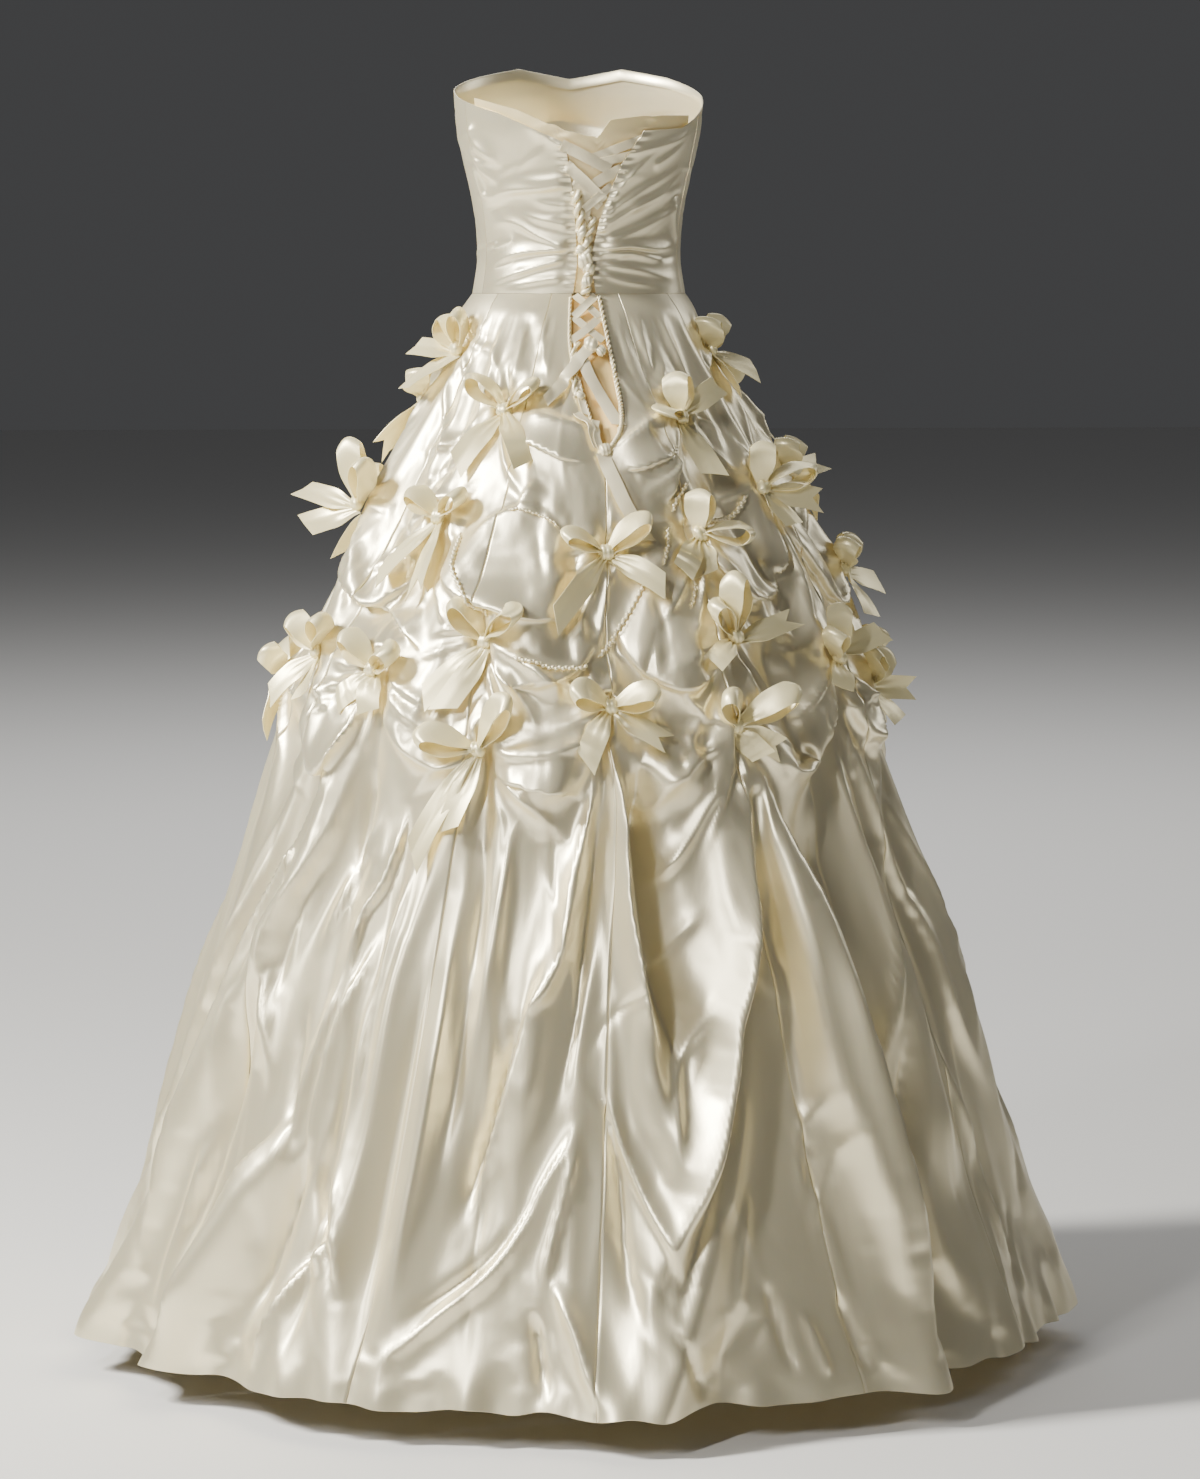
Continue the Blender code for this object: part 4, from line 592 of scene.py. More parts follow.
STREWN_SEED = 7
STREWN_REACH = (-1.085, -0.04)  # the heights that no strewn crease passes
STREWN_BEND = 0.05  # how far its middle strays, as a share of its length
STREWN_OTHER_SIDE = (0.5, 1.8)  # breadth of its minus side, as a share of the plus side's
STREWN_FADES = (0.45, 0.45)
WAIST_RADIUS = 0.11
RADIUS_GROWTH = 0.42  # of the skirt's radius for each metre down, roughly
STREWN_KINDS = (
    # count, low z, high z, lengths, lean, heights, half breadths
    (120, -1.00, -0.58, (0.22, 0.52), 0.08, (0.0018, 0.0048), (0.0066, 0.0140)),
    (110, -1.07, -0.84, (0.08, 0.20), 0.34, (0.0008, 0.0023), (0.0046, 0.0092)),
    (44, -0.84, -0.48, (0.06, 0.18), 0.30, (0.0010, 0.0026), (0.0045, 0.0090)),
    (120, -0.45, -0.06, (0.04, 0.11), 0.60, (0.0012, 0.0034), (0.0045, 0.0090)),
)


def strewn_path(angle, z, length, lean, bow):
    """A short path of three points, from its upper end to its lower one."""
    radius = WAIST_RADIUS + RADIUS_GROWTH * -z
    step = degrees(sin(lean) * length / radius)
    top = min(z + cos(lean) * length / 2, STREWN_REACH[1])
    foot = max(z - cos(lean) * length / 2, STREWN_REACH[0])
    middle = angle + degrees(bow / radius)
    return ((angle - step / 2, top), (middle, (top + foot) / 2), (angle + step / 2, foot))


def strewn_rows(seed, kind):
    """Creases of one kind strewn all round the skirt."""
    count, low_z, high_z, lengths, lean, heights, breadths = kind
    rng = np.random.default_rng(seed)
    rows = []
    for _ in range(count):
        angle = rng.uniform(-180, 180)
        z = rng.uniform(low_z, high_z)
        length = rng.uniform(*lengths)
        path = strewn_path(angle, z, length, rng.normal(0.0, lean), rng.normal(0.0, STREWN_BEND) * length)
        height = rng.choice((-1, 1)) * rng.uniform(*heights)
        plus = rng.uniform(*breadths)
        rows.append((path, height, plus, plus * rng.uniform(*STREWN_OTHER_SIDE), 1.0, 0.0, STREWN_FADES))
    return rows


FRONT_SEED = 23
FRONT_LIMIT = 62  # a crease further round than this is not turned to the front
FRONT_SHIFT = 5  # how many degrees a turned crease may stray
FRONT_SQUEEZE = (0.9, 1.1)
FRONT_Z_SHIFT = 0.012
FRONT_HEIGHTS = (0.7, 1.0)
FRONT_STEEPNESS = 0.6  # the least half breadth of a front crease, as a share of its height
FRONT_OVERHANG = 0.35  # how far its lip leans over, as a share of the back's


def front_crease_rows():
    """The charted creases of the back, turned to the hidden front and made a little different there."""
    rng = np.random.default_rng(FRONT_SEED)
    rows = []
    for path, height, right, left, growth, overhang in BACK_CREASES:
        if min(abs(wrapped(angle)) for angle, _ in path) > FRONT_LIMIT:
            continue
        shift = rng.uniform(-FRONT_SHIFT, FRONT_SHIFT)
        squeeze = rng.uniform(*FRONT_SQUEEZE)
        front_path = []
        for angle, z in path:
            front_path.append((180 - squeeze * angle + shift, z + rng.uniform(-FRONT_Z_SHIFT, FRONT_Z_SHIFT)))
        height = height * rng.uniform(*FRONT_HEIGHTS)
        narrowest = FRONT_STEEPNESS * abs(height)
        plus, minus = max(left, narrowest), max(right, narrowest)
        rows.append((front_path, height, plus, minus, growth, FRONT_OVERHANG * overhang))
    return rows


CREASE_ROWS = (
    *BACK_CREASES,
    *front_crease_rows(),
    *(row for index, kind in enumerate(STREWN_KINDS) for row in strewn_rows(STREWN_SEED + index, kind)),
)


def waves(rows, turn):
    """Waves round the hem, added up."""
    total = 0
    for height, count, phase, sway, sways, sway_phase in rows:
        total = total + height * np.sin(count * turn + phase + sway * np.sin(sways * turn + sway_phase))
    return total


def hem_wave(relief):
    """The hem's own uneven waves, out and up, which die away a hand above it."""
    near = smooth_step((HEM_WAVE_START[0] - relief.z) / HEM_WAVE_START[1])
    nearest = smooth_step((HEM_RIPPLE_START[0] - relief.z) / HEM_RIPPLE_START[1])
    turn = np.radians(relief.angle)
    relief.out += near * (waves(HEM_WAVES, turn) + waves(HEM_RIPPLES, turn) * nearest)
    relief.up += HEM_LIFT * near * (0.5 + waves(HEM_SCALLOPS, turn))


def skirt_surface(angle, z):
    """Points of the skirt's outer face with every fold, swag, pull and crease."""
    angle, z = np.broadcast_arrays(np.asarray(angle, float), np.asarray(z, float))
    radius = section_radius(SKIRT_SECTIONS, angle, z)
    relief = Relief(angle, z, radius)
    for fold in (*LONG_FOLDS, *front_folds()):
        relief.out += fold_height(fold, angle, z, radius)
    for swag in SWAGS:
        relief.out += swag_height(swag, angle, z)
    for row in CREASE_ROWS:
        relief.crease(*row)
    for index, (bow_angle, bow_z) in enumerate(all_bow_places()):
        across = np.radians(wrapped(angle - bow_angle)) * radius
        spread = across**2 + (z - bow_z) ** 2
        relief.out -= DIMPLE_DEPTH * np.exp(-spread / DIMPLE_REACH**2)
        relief.out -= STITCH_DEPTH * np.exp(-spread / STITCH_REACH**2)
        add_pulls(relief, index, bow_angle, bow_z)
    calm = smooth_step(-z / SMOOTH_WAIST)
    relief.out *= calm
    relief.aside *= calm
    relief.up *= calm * smooth_step((z - HEM_Z) / CALM_HEM)
    hem_wave(relief)
    return relief.points()


# ------------------------------------------------------------------ draping
# The skirt's cloth is let go for a moment as one coarse sheet, sewn at the waist, tied at the bows and
# held at the hem, with a little more cloth than the charted form takes up. It settles into buckles of
# its own, and the fine gores follow it.
DRAPE_COLUMNS = 240
DRAPE_ROWS = 112
DRAPE_FRAMES = 26
DRAPE_HOLD = 0.003  # how firmly the charted form holds the loose cloth, from 0 to 1
SLACK_AROUND = ((0.0, 0.0), (-0.06, 0.01), (-0.20, 0.05), (-0.42, 0.05), (-0.60, 0.015), (-1.12, 0.010))
SLACK_DOWN = ((0.0, 0.0), (-0.05, 0.01), (-0.12, 0.10), (-0.42, 0.10), (-0.50, 0.002), (-1.12, 0.000))
DRAPE_SHARES = (1.0, 0.30)  # how much of it the gores follow, among the bows and below them
DRAPE_FADE = (-0.38, -0.80)  # the heights between which one becomes the other
TIED_REACH = 0.008  # how near a bow the sheet is fixed
SLIT_REACH = (17.0, -0.172)  # angle and height within which it is fixed round the slit
SEWN_ROWS = 3  # at the waist
HEM_ROWS = 2
CLOTH_SETTINGS = {
    "quality": 6,
    "mass": 0.12,
    "tension_stiffness": 25.0,
    "compression_stiffness": 25.0,
    "shear_stiffness": 12.0,
    "bending_stiffness": 8.0,
    "tension_damping": 8.0,
    "compression_damping": 8.0,
    "shear_damping": 5.0,
    "bending_damping": 1.0,
    "air_damping": 2.0,
}


class Drape:
    """How far the loose cloth moves from the charted form as it settles."""

    def __init__(self):
        self.shift = np.zeros((DRAPE_ROWS, DRAPE_COLUMNS, 3))
        angles = np.arange(DRAPE_COLUMNS) * 360.0 / DRAPE_COLUMNS - 180.0
        heights = np.linspace(0.0, HEM_Z, DRAPE_ROWS)
        angle, z = np.meshgrid(angles, heights)
        start = skirt_surface(angle, z)
        settled = self.settle(start, self.slackened(start, z), self.held(angle, z))
        fade = smooth_step((z - DRAPE_FADE[0]) / (DRAPE_FADE[1] - DRAPE_FADE[0]))
        share = DRAPE_SHARES[0] + (DRAPE_SHARES[1] - DRAPE_SHARES[0]) * fade
        self.shift = (settled - start) * share[..., None]

    def slackened(self, start, z):
        """The sheet's own size, a little wider and longer than the form it starts on."""
        wide = start.copy()
        wide[..., :2] *= 1.0 + along(SLACK_AROUND, z)[..., None]
        rows = z[:, 0]
        growth = along(SLACK_DOWN, (rows[1:] + rows[:-1]) / 2)
        lower = np.concatenate([[0.0], np.cumsum(growth * np.diff(rows))])
        wide[..., 2] += lower[:, None]
        return wide

    def held(self, angle, z):
        """Weights from 0, free, to 1, fixed."""
        weights = np.full(angle.shape, DRAPE_HOLD)
        radius = section_radius(SKIRT_SECTIONS, angle, z)
        for bow_angle, bow_z in all_bow_places():
            across = np.radians(wrapped(angle - bow_angle)) * radius
            spread = np.hypot(across, z - bow_z)
            weights[spread < TIED_REACH] = 1.0
            weights.flat[np.argmin(spread)] = 1.0
        weights[(np.abs(angle) < SLIT_REACH[0]) & (z > SLIT_REACH[1])] = 1.0
        weights[:SEWN_ROWS] = 1.0
        weights[-HEM_ROWS:] = 1.0
        return weights

    def coarse_sheet(self, points):
        """The whole skirt as one sheet that closes on itself."""
        place = np.arange(DRAPE_ROWS * DRAPE_COLUMNS).reshape(DRAPE_ROWS, DRAPE_COLUMNS)
        beyond = np.roll(place, -1, axis=1)
        faces = np.stack([place[:-1], place[1:], beyond[1:], beyond[:-1]], axis=-1).reshape(-1, 4)
        mesh = bpy.data.meshes.new("drape")
        mesh.from_pydata(points.reshape(-1, 3).tolist(), [], faces.tolist())
        return add_object("drape", mesh)

    def add_cloth(self, sheet, rest, weights):
        """Gives the sheet its own slack size, what holds it and the cloth solver."""
        sheet.shape_key_add(name="charted")
        slack = sheet.shape_key_add(name="slack")
        slack.data.foreach_set("co", rest.reshape(-1))
        slack.value = 0.0
        group = sheet.vertex_groups.new(name="held")
        flat = weights.reshape(-1)
        for value in np.unique(flat):
            group.add(np.flatnonzero(flat == value).tolist(), float(value), "REPLACE")
        modifier = sheet.modifiers.new("drape", "CLOTH")
        settings = modifier.settings
        for name, value in CLOTH_SETTINGS.items():
            setattr(settings, name, value)
        settings.vertex_group_mass = group.name
        settings.rest_shape_key = slack
        modifier.collision_settings.use_collision = False
        modifier.point_cache.frame_start = 1
        modifier.point_cache.frame_end = DRAPE_FRAMES

    def settle(self, start, rest, weights):
        """Where Blender's cloth solver takes the sheet, which is then taken away."""
        sheet = self.coarse_sheet(start)
        self.add_cloth(sheet, rest, weights)
        scene = bpy.context.scene
        for step in range(1, DRAPE_FRAMES + 1):
            scene.frame_set(step)
        evaluated = sheet.evaluated_get(bpy.context.evaluated_depsgraph_get())
        settled = np.empty(start.size)
        evaluated.data.vertices.foreach_get("co", settled)
        mesh = sheet.data
        bpy.data.objects.remove(sheet, do_unlink=True)
        bpy.data.meshes.remove(mesh)
        scene.frame_set(1)
        return settled.reshape(start.shape)

    def at(self, angle, z):
        """The shift at places on the skirt, on smooth curves through the coarse sheet's own."""
        column = wrapped(angle) * DRAPE_COLUMNS / 360.0 + DRAPE_COLUMNS / 2
        row = np.clip(z / HEM_Z, 0.0, 1.0) * (DRAPE_ROWS - 1)
        left = np.floor(column).astype(int)
        upper = np.minimum(np.floor(row).astype(int), DRAPE_ROWS - 2)
        across = curve_weights(column - left)
        down = curve_weights(row - upper)
        total = np.zeros((*np.shape(angle), 3))
        for i in range(4):
            table_row = np.clip(upper + i - 1, 0, DRAPE_ROWS - 1)
            for j in range(4):
                share = (down[i] * across[j])[..., None]
                total += share * self.shift[table_row, (left + j - 1) % DRAPE_COLUMNS]
        return total

    def surface(self, angle, z):
        """Points of the skirt's outer face once it has settled."""
        angle, z = np.broadcast_arrays(np.asarray(angle, float), np.asarray(z, float))
        return skirt_surface(angle, z) + self.at(angle, z)


def curve_weights(t):
    """The four Catmull-Rom weights at a share of the way between the middle two of four places."""
    return (
        0.5 * (-t + 2 * t**2 - t**3),
        0.5 * (2 - 5 * t**2 + 3 * t**3),
        0.5 * (t + 4 * t**2 - 3 * t**3),
        0.5 * (-(t**2) + t**3),
    )


# ------------------------------------------------------------------ the bodice's creases
BODICE_CREASES = (
    # path, height, plus half breadth, minus half breadth, growth, overhang
    # right back panel: strong pulls that fan up from the waist knot
    (((6, 0.057), (22, 0.076), (40, 0.093), (57, 0.104), (74, 0.112)), 0.0034, 0.0044, 0.0064, 1.5, 0.001),
    (((8, 0.063), (21, 0.087), (39, 0.107), (51, 0.118), (70, 0.137)), 0.0030, 0.0040, 0.0060, 1.5, 0.001),
    (((10, 0.071), (19, 0.098), (29, 0.120), (38, 0.136), (52, 0.156)), 0.0024, 0.0036, 0.0050, 1.5, 0.001),
    (((11, 0.052), (34, 0.063), (53, 0.077), (74, 0.090)), 0.0034, 0.0044, 0.0060, 1.5, 0.001),
    (((9, 0.046), (30, 0.050), (53, 0.047), (74, 0.050)), 0.0046, 0.0050, 0.0038, 1.3, 0.003),
    (((9, 0.040), (32, 0.040), (53, 0.034), (72, 0.034)), 0.0032, 0.0036, 0.0044, 1.4, 0.001),
    (((10, 0.030), (34, 0.025), (52, 0.019), (72, 0.014)), 0.0026, 0.0040, 0.0050, 1.5, 0.000),
    (((10, 0.021), (28, 0.013), (46, 0.008), (64, 0.006)), 0.0018, 0.0036, 0.0050, 1.5, 0.000),
    (((26, 0.142), (44, 0.150), (62, 0.160), (73, 0.170)), 0.0020, 0.0040, 0.0050, 1.3, 0.000),
    (((42, 0.128), (54, 0.142), (66, 0.160)), 0.0022, 0.0036, 0.0050, 1.3, 0.001),
    (((28, 0.082), (46, 0.098), (62, 0.118), (72, 0.128)), 0.0018, 0.0034, 0.0044, 1.4, 0.000),
    (((73, 0.052), (68, 0.070), (65, 0.090), (67, 0.114)), 0.0018, 0.0050, 0.0050, 1.2, 0.000),
    # left back panel: soft pulls from the lacing that run down to the side seam
    (((-9, 0.046), (-36, 0.044), (-55, 0.037), (-72, 0.021)), 0.0036, 0.0036, 0.0068, 1.3, 0.002),
    (((-12, 0.036), (-27, 0.030), (-45, 0.021), (-62, 0.012), (-71, 0.004)),
     0.0034, 0.0038, 0.0064, 1.2, 0.001),
    (((-14, 0.016), (-27, 0.014), (-43, 0.009), (-60, 0.005)), 0.0020, 0.0036, 0.0050, 1.2, 0.000),
    (((-9, 0.047), (-31, 0.059), (-45, 0.071), (-58, 0.073), (-73, 0.064)),
     0.0028, 0.0044, 0.0070, 1.3, 0.001),
    (((-10, 0.068), (-32, 0.076), (-47, 0.087)), 0.0020, 0.0044, 0.0060, 1.4, 0.000),
    (((-9, 0.112), (-27, 0.107), (-46, 0.105), (-61, 0.099), (-73, 0.084)),
     0.0030, 0.0056, 0.0096, 1.2, 0.001),
    (((-10, 0.119), (-30, 0.115), (-47, 0.119)), 0.0012, 0.0044, 0.0060, 1.3, 0.000),
    (((-11, 0.147), (-23, 0.158), (-38, 0.174)), 0.0018, 0.0050, 0.0070, 1.3, 0.000),
    (((-10, 0.088), (-24, 0.090), (-38, 0.098)), 0.0014, 0.0040, 0.0050, 1.3, 0.000),
    # hooked pulls that leave the left side seam downwards and die away in the panel
    (((-69, 0.176), (-67, 0.157), (-61, 0.143), (-50, 0.131)), 0.0036, 0.0070, 0.0046, 1.4, 0.001),
    (((-71, 0.156), (-68, 0.137), (-62, 0.121), (-52, 0.110)), 0.0042, 0.0072, 0.0048, 1.3, 0.001),
    (((-72, 0.132), (-70, 0.114), (-68, 0.102), (-60, 0.093)), 0.0036, 0.0060, 0.0046, 1.2, 0.001),
    (((-76, 0.222), (-60, 0.200), (-42, 0.188)), 0.0016, 0.0040, 0.0060, 1.2, 0.000),
)
BODICE_DEPTH = 1.25  # all of the charted heights are taken this much larger
BODICE_FADES = (0.14, 0.55)
DENT_SEED = 9
DENTS = 110
DENT_HEIGHTS_UP = (0.012, 0.20)  # where on the bodice they are
DENT_LENGTHS = (0.025, 0.075)
DENT_STRAY = 0.28  # how far a dent strays from its direction, in radians
DENT_SLOPE = 0.25  # how much it rises to the photo's right on the laced back, in radians
DENT_SLOPE_END = 70  # the angle beyond which it runs level
DENT_ARCH = 0.001  # how far its middle stands above its ends
DENT_HEIGHTS = (0.0005, 0.0014)
DENT_BREADTHS = (0.0028, 0.0060)
DENT_OTHER_SIDE = (0.7, 1.4)  # breadth of its minus side, as a share of the plus side's
DENT_FADES = (0.5, 0.5)


def dent_rows():
    """Short soft dents all round the bodice, level at the front and sloping on the laced back."""
    rng = np.random.default_rng(DENT_SEED)
    rows = []
    for _ in range(DENTS):
        angle = rng.uniform(-180, 180)
        z = rng.uniform(*DENT_HEIGHTS_UP)
        length = rng.uniform(*DENT_LENGTHS)
        slope = DENT_SLOPE if abs(angle) < DENT_SLOPE_END else 0.0
        turn = rng.normal(0.0, DENT_STRAY) + slope * np.sign(angle)
        across = degrees(cos(turn) * length / WAIST_RADIUS)
        rise = abs(sin(turn)) * length * (1 if sin(turn) * angle > 0 else -1)
        path = (
            (angle - across / 2, z - rise / 2),
            (angle, z + DENT_ARCH),
            (angle + across / 2, z + rise / 2),
        )
        height = rng.choice((-1, 1)) * rng.uniform(*DENT_HEIGHTS)
        plus = rng.uniform(*DENT_BREADTHS)
        rows.append((path, height, plus, plus * rng.uniform(*DENT_OTHER_SIDE), 1.0, 0.0, DENT_FADES))
    return rows


PUCKER_PITCH = 0.0088  # of the small puckers along the laced edges
PUCKER_HEIGHT = 0.0011
PUCKER_SWAY = (0.9, 0.011)  # how uneven that pitch is, in radians, and over what height
PUCKER_MIDDLE = 0.003  # how far in from the edge they stand, and how broad they are
PUCKER_BREADTH = 0.006
PUCKER_END = 75  # the angle beyond which there are none
SMOOTH_SEAM = 0.012  # over which the relief grows above the waist seam


def bodice_surface(angle, z):
    """Points of the bodice's outer face with its creases, dents and puckers."""
    angle, z = np.broadcast_arrays(np.asarray(angle, float), np.asarray(z, float))
    radius = section_radius(BODICE_SECTIONS, angle, z)
    relief = Relief(angle, z, radius)
    for path, height, *widths in BODICE_CREASES:
        relief.crease(path, BODICE_DEPTH * height, *widths, BODICE_FADES)
    for row in dent_rows():
        relief.crease(*row)
    for edge, side in ((BODICE_SLIT_LEFT, -1), (BODICE_SLIT_RIGHT, 1)):
        from_edge = np.radians(wrapped(angle - along(edge, z))) * side * radius
        wave = np.sin(2 * pi * z / PUCKER_PITCH + PUCKER_SWAY[0] * np.sin(z / PUCKER_SWAY[1]))
        pucker = np.exp(-((from_edge - PUCKER_MIDDLE) / PUCKER_BREADTH) ** 2) * wave
        relief.out += PUCKER_HEIGHT * pucker * (np.abs(wrapped(angle)) < PUCKER_END)
    relief.out *= smooth_step(z / SMOOTH_SEAM)
    return relief.points()


# ------------------------------------------------------------------ materials
SATIN_LOOK = {
    "Specular IOR Level": 0.8,
    "Anisotropic": 0.5,
    "Sheen Weight": 0.12,
    "Sheen Roughness": 0.35,
    "Sheen Tint": (1.0, 0.95, 0.84, 1.0),
    "Subsurface Weight": 0.12,
    "Subsurface Radius": (1.0, 0.7, 0.35),
    "Subsurface Scale": 0.006,
}
CRUMPLE_NOISE = {"Scale": 70.0, "Detail": 4.0, "Roughness": 0.55}
CRUMPLE_STRETCH = (1.0, 1.0, 0.14)  # crumples run down the cloth
CRUMPLE_STRENGTH = 0.22
WEAVE_NOISE = {"Scale": 900.0, "Detail": 2.0}
WEAVE_BUMP = {"Strength": 0.10, "Distance": 0.0004}


SATINS = {
    # name: colour, roughness, height of the crumples, lustre
    "ivory_satin": ((0.96, 0.87, 0.61), 0.34, 0.0010, 0.68),
    "ribbon_satin": ((0.97, 0.86, 0.50), 0.35, 0.0004, 0.34),
    "lacing_satin": ((0.96, 0.86, 0.58), 0.40, 0.0003, 0.35),
    # painted shade: this lining colour is a deep orange that stands for the shade inside the slit, not the
    # cloth's own tone
    "painted_shade_lining": ((0.93, 0.70, 0.32), 0.50, 0.0006, 0.45),
    # partly painted shade: the panel's own cream is made darker and yellower here for the shade it lies in
    # behind the lacing
    "modesty_satin_with_painted_shade": ((0.94, 0.77, 0.42), 0.45, 0.0006, 0.30),
}


def set_sockets(node, values):
    """Sets a node's input sockets, which are given by name."""
    for socket, value in values.items():
        node.inputs[socket].default_value = value


def plain(name, colour, roughness):
    """A material of one colour, to which satin adds."""
    material = bpy.data.materials.new(name)
    material.use_nodes = True
    shader = material.node_tree.nodes["Principled BSDF"]
    set_sockets(shader, {"Base Color": (*colour, 1.0), "Roughness": roughness})
    return material


def satin(name):
    """Woven satin: long floats that stretch its highlights, fine crumples and a weave."""
    colour, roughness, crumple_height, lustre = SATINS[name]
    material = plain(name, colour, roughness)
    nodes, links = material.node_tree.nodes, material.node_tree.links
    shader = nodes["Principled BSDF"]
    set_sockets(shader, {"Metallic": lustre, **SATIN_LOOK})
    place = nodes.new("ShaderNodeTexCoord")
    stretched = nodes.new("ShaderNodeMapping")
    crumple = nodes.new("ShaderNodeTexNoise")
    weave = nodes.new("ShaderNodeTexNoise")
    crumple_bump = nodes.new("ShaderNodeBump")
    weave_bump = nodes.new("ShaderNodeBump")
    floats = nodes.new("ShaderNodeTangent")
    floats.direction_type = "RADIAL"
    floats.axis = "Z"
    set_sockets(stretched, {"Scale": CRUMPLE_STRETCH})
    set_sockets(crumple, CRUMPLE_NOISE)
    set_sockets(weave, WEAVE_NOISE)
    set_sockets(crumple_bump, {"Strength": CRUMPLE_STRENGTH, "Distance": crumple_height})
    set_sockets(weave_bump, WEAVE_BUMP)
    links.new(place.outputs["Object"], stretched.inputs["Vector"])
    links.new(stretched.outputs["Vector"], crumple.inputs["Vector"])
    links.new(place.outputs["Object"], weave.inputs["Vector"])
    links.new(crumple.outputs["Fac"], crumple_bump.inputs["Height"])
    links.new(weave.outputs["Fac"], weave_bump.inputs["Height"])
    links.new(crumple_bump.outputs["Normal"], weave_bump.inputs["Normal"])
    links.new(weave_bump.outputs["Normal"], shader.inputs["Normal"])
    links.new(floats.outputs["Tangent"], shader.inputs["Tangent"])
    return material


# ------------------------------------------------------------------ meshes
TURN = 0.0014  # how far a turned-in edge lies behind its sheet
TURNED_ROWS = 4  # rows of the sheet that it covers
TURN_REST = 0.0002  # how much further back its own inner edge lies


def add_object(name, data):
    """A new object in the scene."""
    item = bpy.data.objects.new(name, data)
    bpy.context.scene.collection.objects.link(item)
    return item


def mesh_piece(name, points, faces, material):
    """One smooth piece of the gown, which rides on the frame's root."""
    mesh = bpy.data.meshes.new(name)
    mesh.from_pydata(np.asarray(points).tolist(), [], faces)
    mesh.update()
    mesh.materials.append(material)
    mesh.shade_smooth()
    item = add_object(name, mesh)
    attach(item, "root")
    return item


def grid_quads(rows, columns, start=0):
    """The faces between a grid's points, which are counted row by row."""
    first = np.arange(rows * columns).reshape(rows, columns) + start
    corners = (first[:-1, :-1], first[1:, :-1], first[1:, 1:], first[:-1, 1:])
    return np.stack(corners, axis=-1).reshape(-1, 4).tolist()


def grid_normals(points):
    """Outward normals of a grid whose rows run down the gown and whose columns run round it."""
    across = np.gradient(points, axis=1)
    down = np.gradient(points, axis=0)
    return unit(np.cross(down, across))


def turned_strip(points, normals, edge):
    """The allowance turned in behind one edge of a grid, as its own small grid of four rows, and whether
    its faces have to be flipped."""
    if edge in ("left", "right"):
        points, normals = points.transpose(1, 0, 2), normals.transpose(1, 0, 2)
    if edge in ("foot", "right"):
        points, normals = points[::-1], normals[::-1]
    lip, inside = points[0], points[TURNED_ROWS]
    beyond = unit(lip - points[1])
    strip = np.stack([
        lip,
        lip - normals[0] * TURN / 2 + beyond * TURN / 3,
        lip - normals[0] * TURN,
        inside - normals[TURNED_ROWS] * (TURN + TURN_REST),
    ])
    return strip, edge in ("top", "right")


def cloth_sheet(name, points, material, turned=(), depth=0.0):
    """A sheet over a grid of points, with the named edges turned in."""
    normals = grid_normals(points)
    points = points - depth * normals
    rows, columns = points.shape[:2]
    all_points = [points.reshape(-1, 3)]
    faces = grid_quads(rows, columns)
    count = rows * columns
    for edge in turned:
        strip, flip = turned_strip(points, normals, edge)
        quads = grid_quads(*strip.shape[:2], start=count)
        faces += [quad[::-1] for quad in quads] if flip else quads
        all_points.append(strip.reshape(-1, 3))
        count += strip.shape[0] * strip.shape[1]
    return mesh_piece(name, np.concatenate(all_points), faces, material)


def edge_shares(width, pitch):
    """Shares across a panel: close columns at either edge, for the seam's dip, an even pitch between."""
    lip = SEAM_LIP / width
    first = SECOND_LIP * lip
    inner = np.linspace(first, 1 - first, int(round(width / pitch)))
    return np.concatenate([[0.0, lip], inner, [1 - lip, 1.0]])


# ------------------------------------------------------------------ skirt
SKIRT_ROW_PITCH = 0.0034
SKIRT_COLUMN_PITCH = 0.0047  # at the hem
SEAM_DIP = 0.0012  # how far the cloth sinks at a seam, and how far from it that starts
SEAM_LIP = 0.0016
SECOND_LIP = 2.2  # where the even columns start, in seam lips
HEM_RADIUS = 0.49  # roughly, for how many columns a gore has


def leaning_seam(index):
    """The angle of one gore seam at a height."""
    waist, hem = GORE_SEAMS[index]
    return lambda z: waist + (hem - waist) * np.clip(z / HEM_Z, 0, 1)


def gore_edges(index):
    """The angles of a gore's two edges at a height; the first and last gores end at the slit."""
    left = leaning_seam(index - 1) if index else lambda z: along(SKIRT_SLIT_RIGHT, z)
    if index == len(GORE_NAMES) - 1:
        return left, lambda z: 360 + along(SKIRT_SLIT_LEFT, z)
    return left, leaning_seam(index)


def gore_points(index, z, surface):
    """A gore's grid of points, sunk a little at its two seams."""
    left, right = gore_edges(index)
    gap = np.degrees(SEAM_GAP / 2 / section_radius(SKIRT_SECTIONS, left(z), z))
    first, last = left(z) + gap, right(z) - gap
    width = radians(last[-1] - first[-1]) * HEM_RADIUS
    share = edge_shares(width, SKIRT_COLUMN_PITCH)
    angle = first[:, None] + (last - first)[:, None] * share
    points = surface(angle, np.broadcast_to(z[:, None], angle.shape))
    dip = np.zeros(len(share))
    dip[[0, -1]] = SEAM_DIP
    return points - grid_normals(points) * dip[:, None]


def make_skirt(material, surface):
    """The ten gores, each with its turned hem, and a turned edge along the slit where it has one."""
    z = np.linspace(-SEAM_GAP / 2, HEM_Z, int(round(-HEM_Z / SKIRT_ROW_PITCH)))
    slit_edges = {0: ["left"], len(GORE_NAMES) - 1: ["right"]}
    gores = []
    for index, name in enumerate(GORE_NAMES):
        turned = ["foot"] + slit_edges.get(index, [])
        gore = cloth_sheet(name + "_satin", gore_points(index, z, surface), material, turned)
        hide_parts(name)
        gores.append(gore)
    return gores


# ------------------------------------------------------------------ bodice
PANEL_TOP_GUESS = 0.18  # the height at which a panel's edges are taken to find its top edge
SEAM_TURN = 0.1  # half of the gap at a side seam, in degrees
MODESTY_SPAN = (-66.0, 66.0)  # the angles of its two ends
MODESTY_FOOT = 0.001
UNDERLAY_SPAN = (-16.0, 17.0)
UNDERLAY_TOP = -0.001


def fixed(angle):
    """An edge that keeps one angle at every height."""
    return lambda z: np.full(np.shape(z), float(angle))


